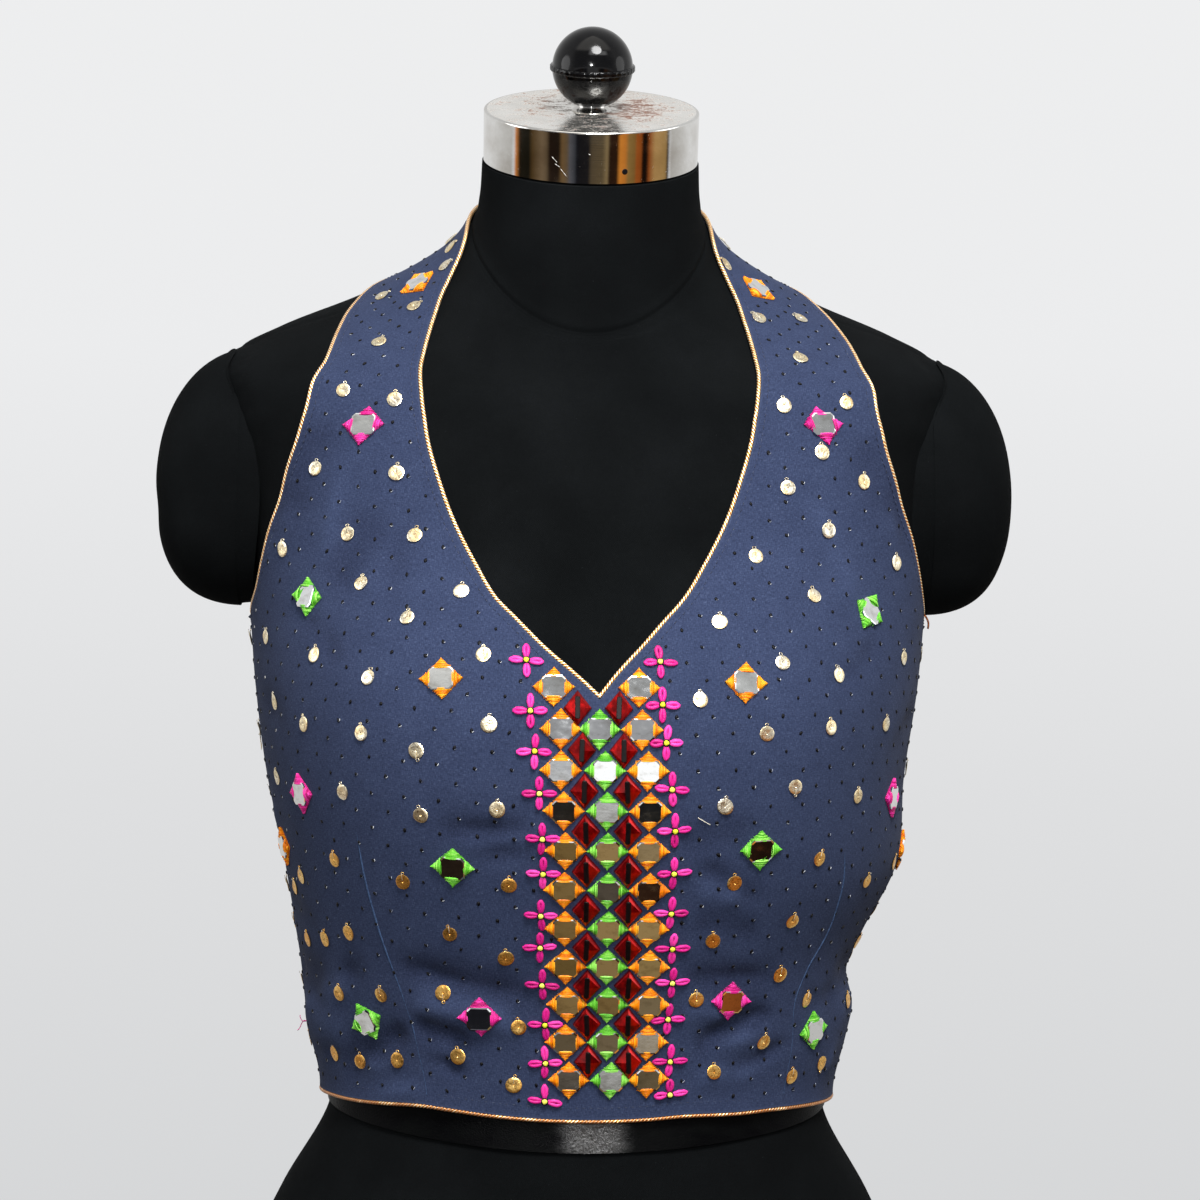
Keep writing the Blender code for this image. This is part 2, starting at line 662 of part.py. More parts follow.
def build_mirror(row):
    """One scattered mirror in its diamond of satin stitch."""
    level = float(level_at(row.turn, row.z))
    spin = math.radians(row.turned)
    flat = {"centre": (0, 0, GLASS_RISE)}
    corners = ["right", "top", "left", "bottom"]
    half_wide, half_tall = DIAMOND_WIDE / 2, DIAMOND_TALL / 2
    for name, x, y in zip(corners, (half_wide, 0, -half_wide, 0), (0, half_tall, 0, -half_tall)):
        flat[name] = (x, y, EDGE_RISE)
    glass = list(range(8))
    for i, (x, y) in zip(glass, clipped(MIRROR_WIDE, MIRROR_TALL, MIRROR_CLIP)):
        flat[i] = (x, y, THREAD_RISE)
    x, y, rise = np.array(list(flat.values())).T
    across = x * math.cos(spin) - y * math.sin(spin)
    up = x * math.sin(spin) + y * math.cos(spin)
    outer = dict(zip(flat, on_cloth(row.turn, level, across, up, WALL + rise)))
    inner = dict(zip(flat, on_cloth(row.turn, level, across, up, WALL + PLATE_GAP)))
    add_wall("mirror_" + row.name, row.colour, outer, inner, diamond(corners, glass), [corners])


def band_points(across, z, height):
    """Points of the band: across is the distance from the centre front line."""
    turn = centre_turn(level_at(0.0, z))
    return on_cloth(turn, level_at(turn, z), across, 0, height)


def build_band():
    """The mirror band: three columns of mirrors, with a column of stones in each gap between them."""
    half_wide, half_tall = DIAMOND_WIDE / 2, DIAMOND_TALL / 2
    flat, faces, cells = {}, [], []

    def corner_keys(column, step):
        keys = [(column + 1, step), (column, step + 1), (column - 1, step), (column, step - 1)]
        cells.append(keys)
        for c, s in keys:
            flat[c, s] = (c * half_wide, BAND_BOTTOM + s * half_tall, EDGE_RISE)
        return keys

    def centre_key(column, step, rise):
        key = ("centre", column, step)
        flat[key] = (column * half_wide, BAND_BOTTOM + step * half_tall, rise)
        return key

    for column in (-2, 0, 2):
        rows = BAND_ROWS if column else BAND_ROWS - 1
        for step in range(0, 2 * rows, 2):
            centre = centre_key(column, step, GLASS_RISE)
            glass = []
            for i, (x, y) in enumerate(clipped(MIRROR_WIDE, MIRROR_TALL, MIRROR_CLIP)):
                glass.append(("glass", column, step, i))
                flat[glass[-1]] = (flat[centre][0] + x, flat[centre][1] + y, THREAD_RISE)
            cell = diamond(corner_keys(column, step), glass)
            faces += [[centre if key == "centre" else key for key in face] for face in cell]
    for column in (-1, 1):
        for step in range(1, 2 * BAND_ROWS - 1, 2):
            corners = corner_keys(column, step)
            centre = centre_key(column, step, STONE_PEAK)
            loops = [corners]
            for name, share, rise in (("foot", 1, EDGE_RISE), ("rim", 0.86, STONE_RIM)):
                wide, tall = share * STONE_WIDE / 2, share * STONE_TALL / 2
                loop = [(name, column, step, i) for i in range(4)]
                for key, x, y in zip(loop, (wide, 0, -wide, 0), (0, tall, 0, -tall)):
                    flat[key] = (flat[centre][0] + x, flat[centre][1] + y, rise)
                loops.append(loop)
            for low, high in zip(loops, loops[1:]):
                faces += [[low[i], low[(i + 1) % 4], high[(i + 1) % 4], high[i]] for i in range(4)]
            faces += [[loops[-1][i], loops[-1][(i + 1) % 4], centre] for i in range(4)]
    across, z, rise = np.array(list(flat.values())).T
    outer = dict(zip(flat, band_points(across, z, WALL + rise)))
    inner = dict(zip(flat, band_points(across, z, WALL + PLATE_GAP)))
    add_wall("mirror_band", "mirror_work", outer, inner, faces, cells)


# ---------------------------------------------------------------- the dress form


def body_ring(level, up=0.0):
    turns = np.arange(BODY_SIDES) * 360 / BODY_SIDES
    return figure(turns, float(level), False) + np.array([0, 0, up])


def build_stack(name, rings):
    """A solid of the form's jersey through the rings, closed at both ends."""
    add_rings(name, "jersey", rings, rings[0].mean(axis=0), rings[-1].mean(axis=0))


def build_body():
    """The padded figure, from its flat base to the neck seam."""
    levels = [0, 1, 2, 3, 4, 5, *BODY_WAIST_LEVELS, *BODY_UPPER_LEVELS]
    build_stack("form_body", [body_ring(level) for level in levels])


def build_neck():
    rings = [body_ring(level, GAP) for level in NECK_LEVELS]
    build_stack("form_neck", [*rings, body_ring(CAP_LEVEL)])


def build_waist_band():
    """A tape round the waist, which hangs lower at the front."""
    sides = BAND_SIDES
    turns = np.arange(sides) * 360 / sides
    middle = BAND_Z - BAND_SLOPE * np.cos(np.radians(turns))
    outer, inner, faces = {}, {}, []
    steps = (-1, 0, 1)
    for row, step in enumerate(steps):
        levels = level_at(turns, middle + step * BAND_HALF, False)
        place = figure(turns, levels, False)
        normal = figure_normal(turns, levels, False)
        for i in range(sides):
            inner[row, i] = place[i] + normal[i] * BAND_GAP
            outer[row, i] = place[i] + normal[i] * (BAND_GAP + BAND_WALL)
    for row in range(len(steps) - 1):
        for i in range(sides):
            j = (i + 1) % sides
            faces.append([(row, i), (row, j), (row + 1, j), (row + 1, i)])
    add_wall("waist_band", "gloss_tape", outer, inner, faces)


def side_x(y, z):
    """Where the figure's side lies, at +X, for each y and z of the arm cap's face."""
    turn = np.full(y.shape, 90.0)
    for _ in range(6):
        level = level_at(turn, z, False)
        away = y - figure(turn, level, False)[..., 1]
        turn = turn + np.degrees(away / ARM_FACE_X)
    return figure(turn, level_at(turn, z, False), False)[..., 0]


def build_arm_cap(side, name):
    """The padded cap on an armhole: a dome on the figure's side."""
    angles = np.radians(np.arange(ARM_SIDES) * 360 / ARM_SIDES)
    shares = np.array(ARM_RINGS[1:])[:, None]
    y = ARM_Y + ARM_HALF_DEEP * shares * np.cos(angles)
    z = ARM_Z + ARM_HALF_TALL * shares * np.sin(angles)
    face = side_x(y, z) + ARM_GAP
    middle = float(side_x(np.array([ARM_Y]), np.array([ARM_Z]))[0]) + ARM_GAP
    low = ease(0.5 - np.sin(angles) / 2)
    power = ARM_POWER_HIGH + (ARM_POWER_LOW - ARM_POWER_HIGH) * low
    swell = np.clip(1 - shares**power, 0, 1) ** (2 / (2 + power))
    dome = np.maximum(ARM_SEAM_X + (ARM_TIP_X - ARM_SEAM_X) * swell, face + ARM_RIM)
    outer, inner, faces = {}, {}, []
    centre = (0, 0)
    outer[centre] = (side * ARM_TIP_X, ARM_Y, ARM_Z)
    inner[centre] = (side * middle, ARM_Y, ARM_Z)
    for r in range(len(shares)):
        for i in range(ARM_SIDES):
            inner[r + 1, i] = (side * face[r, i], y[r, i], z[r, i])
            outer[r + 1, i] = (side * dome[r, i], y[r, i], z[r, i])
    for i in range(ARM_SIDES):
        j = (i + 1) % ARM_SIDES
        faces.append([centre, (1, i), (1, j)])
        for r in range(1, len(shares)):
            faces.append([(r, i), (r + 1, i), (r + 1, j), (r, j)])
    add_wall(name, "jersey", outer, inner, faces if side > 0 else [f[::-1] for f in faces])


def turned(name, finish, profile, base, sides, sharp=40):
    """A solid turned from (radius, height) points about an axis that tilts forward at base."""
    forward = np.array([0, math.cos(CAP_TILT), math.sin(CAP_TILT)])
    axis = np.array([0, -math.sin(CAP_TILT), math.cos(CAP_TILT)])
    angles = np.radians(np.arange(sides) * 360 / sides)
    rings = [
        base
        + axis * height
        + radius * (np.outer(np.cos(angles), [1, 0, 0]) + np.outer(np.sin(angles), forward))
        for radius, height in profile
    ]
    add_rings(name, finish, rings, base + axis * profile[0][1], base + axis * profile[-1][1], sharp)


def build_cap_and_knob():
    """The metal cap on the neck and the ball knob on it, both along the neck's forward tilt."""
    base = body_ring(CAP_LEVEL).mean(axis=0) + np.array([0, 0, CAP_CLEAR])
    cap = [(CAP_RADIUS, 0), (CAP_RADIUS, CAP_HEIGHT - CAP_BEVEL), (CAP_RADIUS - CAP_BEVEL, CAP_HEIGHT)]
    turned("neck_cap", "chrome", cap, base, CAP_SIDES, 30)

    foot = CAP_HEIGHT + GAP
    centre = foot + KNOB_STEM + KNOB_RADIUS * KNOB_SEAT

    def arc(angles):
        turns = np.radians(angles)
        return list(zip(KNOB_RADIUS * np.cos(turns), centre + KNOB_RADIUS * np.sin(turns)))

    rib = KNOB_RADIUS + KNOB_FLANGE
    stem = [(KNOB_STEM_RADIUS + KNOB_FOOT, foot), (KNOB_STEM_RADIUS, foot + KNOB_FOOT_TALL)]
    flange = [(rib, centre - KNOB_FLANGE), (rib, centre + KNOB_FLANGE)]
    turned("knob", "gloss_black", stem + arc(KNOB_BELOW) + flange + arc(KNOB_ABOVE), base, KNOB_SIDES, 30)


def main():
    for obj in list(bpy.data.objects):
        bpy.data.objects.remove(obj, do_unlink=True)
    build_front()
    build_back(-1, "back_left")
    build_back(1, "back_right")
    build_pipings()
    build_band()
    for row in MIRRORS:
        build_mirror(row)
    build_body()
    build_neck()
    build_waist_band()
    build_arm_cap(-1, "arm_cap_left")
    build_arm_cap(1, "arm_cap_right")
    build_cap_and_knob()


main()
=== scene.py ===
"""Halter choli with mirror work, worn on a limbless dress form: its cloth, stitching and finishes.

Sizes are in millimetres and become metres where a mesh is made. +Z is up and the blouse faces -Y.
Two coordinates place a point on the figure: turn, the angle round it in degrees (0 is the centre
front, 90 is the side at +X), and level, its place in the SECTIONS table.
"""

import math
from collections import namedtuple

import bmesh
import bpy
import numpy as np
from mathutils import Matrix


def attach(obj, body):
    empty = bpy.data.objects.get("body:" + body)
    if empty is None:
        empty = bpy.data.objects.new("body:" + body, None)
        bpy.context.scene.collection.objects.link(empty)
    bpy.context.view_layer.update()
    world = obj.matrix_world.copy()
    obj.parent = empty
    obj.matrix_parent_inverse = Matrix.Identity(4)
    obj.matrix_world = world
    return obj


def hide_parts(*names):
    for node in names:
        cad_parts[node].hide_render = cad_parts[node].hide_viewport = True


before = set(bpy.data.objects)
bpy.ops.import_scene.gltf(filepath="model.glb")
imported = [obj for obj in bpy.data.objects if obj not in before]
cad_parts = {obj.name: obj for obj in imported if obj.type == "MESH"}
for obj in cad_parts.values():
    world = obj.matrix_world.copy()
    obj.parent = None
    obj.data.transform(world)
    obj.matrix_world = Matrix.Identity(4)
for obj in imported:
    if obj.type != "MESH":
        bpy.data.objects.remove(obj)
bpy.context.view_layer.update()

MM = 0.001
chance = np.random.default_rng(20)

# ---- sizes shared with the solids

WALL = 1.4  # thickness of the cloth with its lining
CLEAR = 0.5  # cloth's inner face off the cloth figure
GAP = 0.3
PIPE_RADIUS = 1.05
HEM_LEVEL = 6.15
V_LEVEL = 10.92
SIDE_SEAM = 95.0
SEAM_TURN = 0.12
STRAP_END = 187.0
BACK_END = 184.5
LAP_LIFT = 2 * PIPE_RADIUS + GAP
LAP_RAMP = 12.0
V_ROW = 16
UNDERARM_ROW = 19
STRAP_ROW = 50
HEM_LIFTS = (  # (turn, how far the hem rides up there)
    (-187, 0), (-95, 0), (-75, 1.8), (-61, 2.2), (-53, 2.9), (-45, 3.4), (-37, 2.4), (-29, 1.1),
    (-20, 0), (20, 0), (29, 1.1), (45, 1.3), (53, 1.8), (63, 1.6), (75, 0.9), (95, 0), (187, 0),
)
HEM_REACH = 1.1  # levels over which that rise dies away

DIAMOND_WIDE = 18.1  # one diamond of satin stitch round a mirror
DIAMOND_TALL = 17.3
BAND_ROWS = 11
BAND_BOTTOM = 248.8
MIRROR_WIDE = 10.4
SCATTERED_SIZE = 1.06  # how much larger the scattered mirrors are than those of the band
MIRROR_TALL = 9.6
MIRROR_CLIP = 1.5
STONE_WIDE = 12.4
STONE_TALL = 15.8


def table(fields, *rows):
    """The rows as named tuples that have these fields."""
    kind = namedtuple("Row", fields)
    return [kind(*row) for row in rows]


SECTIONS = table(
    "name side_z front_z back_z half_width front_y back_y squareness sway ease_side ease_front ease_back",
    ("base", 0, 0, 0, 160, -95, 107, 2.3, 0, 2, 2, 2),
    ("foot", 12, 12, 12, 165, -99, 111, 2.3, 0, 2, 2, 2),
    ("low hip", 50, 50, 50, 173, -104, 121, 2.3, 0, 2, 2, 2),
    ("hip", 95, 95, 95, 173, -106, 123, 2.3, 0, 2, 2, 2),
    ("high hip", 140, 140, 140, 158, -101, 108, 2.3, 0, 2, 2, 2),
    ("below waist", 185, 185, 185, 137, -92, 90, 2.3, 0, 2, 2, 2),
    ("waist", 226, 226, 226, 115, -84, 77, 2.3, 0, 3.5, 3.5, 3.5),
    ("above waist", 262, 262, 262, 118.5, -86, 83, 2.3, 0, 5.5, 5, 5),
    ("ribs", 300, 300, 300, 124.5, -91, 92, 2.3, -1, 4, 4, 4),
    ("under bust", 340, 340, 340, 137, -97, 99, 2.3, 5, 4.5, 3, 3),
    ("bust", 380, 380, 380, 144.5, -102, 105, 2.3, 2, 2.8, 2.5, 2.5),
    ("over bust", 420, 420, 420, 149.5, -103, 108, 2.3, 2, 3.5, 2, 2.2),
    ("underarm", 458, 458, 458, 153.5, -97, 109, 2.35, 2, 3, 1.8, 2),
    ("armhole", 494, 492, 496, 157.5, -89, 107, 2.4, 1, 2, 1.8, 1.8),
    ("chest", 527, 520, 531, 163, -82, 102, 2.4, 0, 1.8, 1.8, 1.8),
    ("high chest", 552, 537, 562, 170, -77, 95, 2.3, 0, 1.8, 1.8, 1.8),
    ("shoulder tip", 571, 549, 588, 170, -73, 87, 2.2, 0, 1.8, 1.8, 1.8),
    ("outer shoulder", 583, 557, 606, 148, -70, 79, 2.1, 0, 1, 1.5, 1.8),
    ("shoulder", 593, 564, 621, 118, -67, 71, 2.05, 0, 0.7, 1.2, 1.7),
    ("inner shoulder", 604, 570, 634, 90, -65, 64, 2, 0, 0.6, 1.2, 1.3),
    ("neck side", 618, 576, 645, 67, -63.5, 57, 2, 0, 0.6, 1.2, 1.3),
    ("neck base", 633, 580, 655, 55, -62, 50, 2, 0, 0.8, 1.2, 1.4),
    ("neck", 648, 612, 667, 51.5, -60, 44, 2, 0, 1.8, 1.8, 1.8),
    ("under cap", 664.5, 646, 683, 50.5, -59, 38, 2, 0, 1.8, 1.8, 1.8),
)
LEVELS = np.arange(len(SECTIONS), dtype=float)
SECTION_SIZES = np.array([section[1:] for section in SECTIONS], dtype=float)
CAP_LEVEL = 23.0  # the last of the sections

CUP_X = 84.0  # the bust: a soft rise either side of the centre front
CUP_Z = 398.0
CUP_RISE = 25.0
CUP_OF_FORM, CUP_OF_CLOTH = table(  # the cloth bridges from cup to cup
    "inner outer up down soft", (96, 80, 92, 80, 16), (210, 96, 100, 150, 45)
)
CUP_FACING = 0.6  # share of the depth over which a cup fades into the side

# ---- the cut of the blouse

CENTRE_LINE = table(  # the blouse sits a little turned on the form, more so towards its hem
    "level turn",
    (6.15, 9), (8, 6.5), (9.5, 5), (10.4, 3.9), (10.92, 2.6), (11.4, 1), (12, 0),
)

NECKLINE = table(
    "row turn level",
    (16, 0, 10.92), (17.25, 5.6, 11.2), (18.4, 11.7, 11.48), (19.6, 17.2, 11.77),
    (20.7, 21.8, 12.02), (22.2, 26.5, 12.41), (24, 32.3, 13.02), (25.6, 36.7, 13.68),
    (27.3, 40.3, 14.44), (28.6, 43.2, 15.33), (29.95, 46.9, 16.44), (31.3, 53, 17.83),
    (33.4, 62.3, 19.09), (35.2, 71.3, 19.77), (36.5, 77.3, 20.22), (37.5, 81.8, 20.57),
    (38.7, 88, 20.85), (40.2, 102, 20.95), (42, 124, 20.95), (44, 147, 20.92), (45, 157, 20.9),
    (46, 163, 20.9), (48, 173, 20.87), (50, STRAP_END, 20.85),
)

ARMHOLE = table(  # shift leans both armholes towards +X, in degrees
    "row turn level shift",
    (19, SIDE_SEAM, 11.8, 0), (20, 90.7, 11.78, 0.3), (21, 86.3, 11.82, 0.6), (22, 82, 11.93, 0.9),
    (23.2, 77.6, 12.12, 1.2), (24.5, 74.2, 12.44, 1.1), (25.9, 71.1, 12.84, 1),
    (27.9, 66.8, 13.54, 0.8), (30.1, 63.7, 14.56, 0.7), (31.8, 64, 15.7, 0.7),
    (33.8, 69.2, 17.06, 1.1), (35.8, 79, 17.92, 1.3), (37.3, 88, 18.3, 1), (38.6, 95.5, 18.45, 0.8),
    (40.2, 108, 18.45, 0.5), (42, 127, 18.3, 0.2), (44, 148, 18.13, 0), (45, 157, 18.07, 0),
    (46, 163, 18.04, 0), (48, 173, 18, 0), (50, STRAP_END, 18, 0),
)

BACK_TOP = table(
    "share level",
    (0, 11.8), (0.2, 11.62), (0.55, 10.95), (0.85, 10.55), (1, 10.48),
)

FOLDS = table(  # soft ridges (a rise above 0) and troughs, each from a to b
    "name turn_a z_a turn_b z_b half_width rise",
    ("left dart to centre", -45, 298, -13, 286, 8, -1.7),
    ("ridge under it", -43, 285, -18, 275, 9, 1.2),
    ("left waist crease", -42, 271, -31, 264, 7, -1.2),
    ("left dart to side", -45, 268, -65, 246, 8, -1.6),
    ("left side roll", -62, 268, -84, 262, 9, 1.4),
    ("left side crease", -66, 288, -86, 294, 8, -1.5),
    ("right waist crease", 26, 295, 49, 293, 8, -1.3),
    ("right low crease", 30, 263, 48, 280, 8, -1.5),
    ("right side crease", 68, 296, 92, 287, 8, -2),
    ("right side roll", 70, 276, 92, 272, 9, 1.8),
    ("left chest drag", -59, 540, -65, 494, 9, -1.1),
    ("left bust drag", -47, 498, -55, 462, 9, -1.1),
    ("right chest drag", 60, 535, 66, 498, 9, -0.9),
    ("under bust left", -34, 361, -14, 358, 8, -1),
    ("under bust right", 20, 356, 38, 362, 8, -0.9),
    ("back left crease", -108, 292, -140, 282, 9, -1.6),
    ("back left roll", -112, 276, -138, 266, 9, 1.3),
    ("back left low crease", -150, 262, -172, 254, 8, -1.2),
    ("back right crease", 106, 288, 143, 291, 9, -1.7),
    ("back right roll", 110, 270, 135, 276, 9, 1.3),
    ("back right low crease", 148, 252, 170, 264, 8, -1.2),
)
FIGURE_RADIUS = 130.0  # takes a fold's turn to a length

MIRRORS = table(
    "name colour turn z turned lean_across lean_up",
    ("strap_left", "orange", -82.5, 604.5, 3, 0.5, 0.5),
    ("strap_right", "orange", 82, 604.5, -4, 0, 0),
    ("chest_left", "magenta", -52.5, 536.3, 4, -1, -4),
    ("chest_right", "magenta", 54.5, 539.8, 0, -1, 2.5),
    ("arm_left", "green", -60, 459.2, -4, 6.5, -2.5),
    ("arm_right", "green", 59.4, 456.2, -30, -4, -4.5),
    ("bust_left", "orange", -32, 424.5, 3, 0.5, -2),
    ("bust_right", "orange", 33.7, 424.5, -2, -4.5, -2),
    ("side_left", "magenta", -64, 372.5, 0, 1, -3.5),
    ("side_right", "magenta", 71, 372.5, 0, 0, 0.5),
    ("edge_left", "orange", -76.5, 346, 0, -0.5, 0.5),
    ("edge_right", "orange", 85, 346, 2, 1, -0.5),
    ("rib_left", "green", -31.2, 344.2, -3, 4, 0.5),
    ("rib_right", "green", 38.5, 353.2, 2, -5.5, 5),
    ("waist_left", "magenta", -26.5, 276.9, 0, -4, 0.5),
    ("waist_right", "magenta", 38.2, 284.2, -3, -3, 0),
    ("hem_left", "green", -55, 270.5, 24, 7, 1),
    ("hem_right", "green", 61.5, 267.5, 8, 0, -0.5),
    ("back_orange_left", "orange", -118, 404, 2, 2, -1.5),
    ("back_orange_right", "orange", 119, 402, -3, -1.5, -2),
    ("back_green_left", "green", -148, 362, -2, -1, 1.5),
    ("back_green_right", "green", 149, 364, 3, 1.5, 2),
    ("back_magenta_left", "magenta", -122, 318, 3, 2, 2.5),
    ("back_magenta_right", "magenta", 121, 320, 0, -2.5, 1),
    ("back_low_left", "orange", -153, 272, -2, -1, -1.5),
    ("back_low_right", "orange", 152, 274, 4, 1.5, -2),
)


# ---- small creases, stitching and beadwork

BAND_SHIFTS = {  # mm that each mirror of a column stands across from its place, from the bottom
    -2: (0, -1.2, 0, -0.4, -0.7, -1.0, -0.3, -0.6, -1.3, 0, -0.9),
    0: (0.4, -0.9, -0.4, -0.4, 0, 0, 0, 0, -0.4, -1.5),
    2: (-1.7, -1.7, -0.6, -0.6, -0.9, -0.7, -0.9, 0, -0.4, -1.6, -0.7),
}

BAND_LEANS = (  # degrees across and up, each outer column of the band from the bottom, then the middle one
    (0, 1), (-1.5, 1), (1, 1), (2, 2), (1.5, -1), (1.5, 0), (2, 3), (1.5, 1.5),
    (0, -3.5), (0, 1), (0, 4.5), (1, 1.5), (-1, -5.5), (1, -2.5), (2, 1), (0, -2),
    (-4.5, 2), (-2.5, 1), (0, 0.5), (0, 0), (0, 1), (0, 4), (-2.5, -1.5), (-0.5, 2),
    (4, 1.5), (0.5, 1), (-1, -1.5), (3.5, -2.5), (-2, 2), (0.5, -3.5), (0, 0), (0, 1),
)

CREASES = table(  # finer than the folds, and uneven: wave bends each one sideways by this much
    "turn_a z_a turn_b z_b half_width rise wave",
    (-45.2, 297.2, -16.5, 287.5, 3, -1.5, 1.5), (-44, 281.6, -15.8, 268.3, 5, 1.3, 2),
    (-43.2, 274, -28.5, 261.9, 3.7, -1.9, 1), (-44.5, 268.8, -56.5, 253.2, 3.8, -1.9, 1.5),
    (-47.5, 259.9, -59.8, 243.7, 4.5, 1, 1), (-41, 256.8, -30, 248, 3.6, -1.5, 1),
    (-60.2, 236.8, -40.8, 241.2, 4.5, 1, 1), (-54.2, 301.6, -59.8, 288.3, 5, -1, 1.5),
    (-58.2, 286.8, -65.8, 273.2, 5, 0.9, 1.5), (-34, 361.6, -12.8, 360.8, 3.2, -1.1, 1),
    (-30.2, 355.5, -12.8, 355.9, 4.4, 0.9, 1), (-28, 350.3, -12.2, 349.5, 4.6, -0.8, 1.5),
    (24.8, 345.9, 40.8, 331.2, 3.8, -1.1, 1.5), (26, 336.3, 37, 329.9, 4.5, 0.9, 1.5),
    (25.8, 319.9, 42.8, 313.2, 6, -0.9, 2), (27.2, 294.8, 47.8, 294.8, 3, -0.8, 1),
    (26.5, 276.8, 39, 278.3, 5, 1, 1.5), (31.5, 263.9, 48.8, 279.6, 3.7, -1.9, 1.5),
    (33.8, 258.3, 47.5, 271.9, 4.6, 1.2, 1.5), (40, 255.2, 55.5, 261.6, 3.8, -1.5, 1.5),
    (30.5, 245.9, 47.8, 251.9, 5, 0.9, 1.5), (56.8, 277.5, 69.2, 286.3, 5, -1, 1.5),
    (-82.5, 366, -74, 340, 6, 0.8, 2), (-83.5, 319.6, -66.2, 312.3, 5, -1, 1.5),
    (-87.5, 291.2, -67.2, 277.6, 5, -0.9, 1.5), (-82, 268.8, -61.5, 283.6, 5, 1, 1.5),
    (-80.5, 255.6, -64.2, 250.8, 5, -1, 1.5), (75.5, 310.8, 80.5, 323.2, 5, -0.9, 1.5),
    (72, 260.4, 71.5, 242.3, 5, 0.9, 1.5), (-66, 528, -69, 484, 4, -0.9, 1),
    (-54, 520, -58, 474, 4.5, 0.8, 1.5), (-40, 500, -44, 452, 5, -0.6, 2),
    (-62, 452, -52, 430, 5, -0.8, 2), (66, 520, 70, 480, 4, -0.9, 1), (50, 508, 56, 458, 5, 0.8, 2),
    (62, 446, 52, 424, 5, -0.8, 2), (-78, 420, -66, 398, 6, -0.8, 2),
    (80, 416, 70, 392, 6, -0.8, 2), (-118, 300, -96, 306, 5, 0.9, 2),
    (-152, 296, -126, 300, 5, -0.9, 2), (-176, 276, -150, 284, 5, 0.8, 2),
    (-134, 252, -108, 244, 5, -0.9, 2), (98, 312, 126, 306, 5, 0.9, 2),
    (128, 302, 156, 294, 5, -0.9, 2), (150, 280, 178, 272, 5, 0.8, 2),
    (106, 250, 136, 244, 5, -0.9, 2), (-112, 392, -100, 352, 6, -0.8, 2.5),
    (112, 388, 100, 350, 6, -0.8, 2.5),
)

DARTS = table(  # (turn, z) down each dart's seam
    "name places",
    ("left", ((-51.6, 357), (-51.4, 340), (-49.5, 318.8), (-47, 300), (-44, 277), (-42.6, 252),
              (-42.4, 239))),
    ("right", ((57, 350), (58.7, 330), (59.4, 310), (57, 296), (55, 283), (55.6, 262), (56.5, 239))),
    ("back_left", ((-137, 352), (-136, 320), (-134.5, 290), (-133.5, 262), (-133, 239))),
    ("back_right", ((137, 352), (136, 320), (134.5, 290), (133.5, 262), (133, 239))),
)

SEQUINS = (  # (turn, z) of each sequin
    (-91.5, 623), (-81.5, 613.1), (-86.5, 598.8), (-72, 592.5), (-65, 574.4), (-58.5, 551.7),
    (-49, 547.6), (-59.5, 517), (-44.5, 514.7), (-52.5, 487.5), (-39.5, 486.6), (-66, 480.8),
    (-49, 465.2), (-29, 461.9), (-39.5, 450.2), (-72, 440.9), (-58, 433.6), (-23.5, 434.9),
    (-46.5, 424.4), (-70.5, 412), (-61, 403.3), (-48, 400.9), (-22, 405.9), (-37, 394.3),
    (-72.5, 378), (-53, 374.8), (-37, 366.7), (-20.5, 370), (-58, 344.2), (-42.5, 336.9),
    (-18.5, 336.9), (-70, 333.9), (-74.5, 327.5), (-71.5, 304.3), (-64, 306.5), (-56.5, 311.2),
    (-32.5, 314.3), (-19.5, 304), (-61, 282.6), (-50, 284), (-35, 287), (-17, 272.6),
    (-68, 252.8), (-59.5, 251.1), (-48.5, 254.4), (-33, 258), (-19, 246),
    (81, 615.9), (68, 589.3), (79, 590.4), (62, 569.8), (49, 547.6), (60, 550), (53, 527.3),
    (45.5, 510.8), (60, 514.9), (52, 492.1), (37.5, 479.4), (66.5, 478.8), (48, 462.5),
    (29, 450.3), (41, 433.2), (52.5, 428.2), (69.5, 435.6), (24.5, 417.3), (38, 403.4),
    (51, 405.8), (65, 406.4), (44.5, 380.5), (59, 375), (30.5, 372.4), (51, 348.3), (34, 338.5),
    (65, 336.1), (76, 341.9), (48.5, 320.6), (31.5, 312.6), (78.5, 304.7), (49.5, 295.5),
    (29.5, 285.5), (75, 277.6), (58.5, 281.9), (47.5, 264.6), (67, 251.4), (57.5, 247.3),
    (36, 252.2),
    (-87, 440), (-88, 398), (-90, 368), (-89, 308), (-91, 280), (-88, 254), (-84, 392), (-86, 326),
    (88, 436), (90, 402), (91, 372), (92, 330), (90, 296), (93, 262), (84, 384), (86, 318),
    (-104, 436), (-112, 424), (-101, 402), (-130, 418), (-142, 396), (-127, 396), (-106, 378),
    (-122, 368), (-138, 376), (-158, 384), (-168, 366), (-158, 342), (-142, 338), (-128, 344),
    (-110, 348), (-102, 326), (-134, 316), (-150, 312), (-166, 322), (-172, 298), (-158, 292),
    (-140, 290), (-126, 292), (-108, 300), (-100, 276), (-116, 268), (-132, 262), (-142, 248),
    (-124, 246), (-106, 250), (-166, 252), (-174, 270),
    (103, 438), (113, 422), (102, 400), (131, 416), (143, 394), (126, 398), (107, 376),
    (123, 366), (139, 378), (159, 382), (169, 364), (158, 340), (142, 340), (127, 346),
    (109, 350), (102, 324), (135, 318), (151, 310), (166, 320), (173, 300), (157, 290),
    (141, 288), (127, 290), (108, 302), (100, 274), (115, 268), (131, 260), (143, 250),
    (124, 244), (106, 252), (165, 250), (174, 268),
    (-104, 628), (-118, 632), (-134, 626), (-150, 632), (-152, 632), (104, 628), (119, 631),
    (135, 625), (150, 631), (153, 633),
)

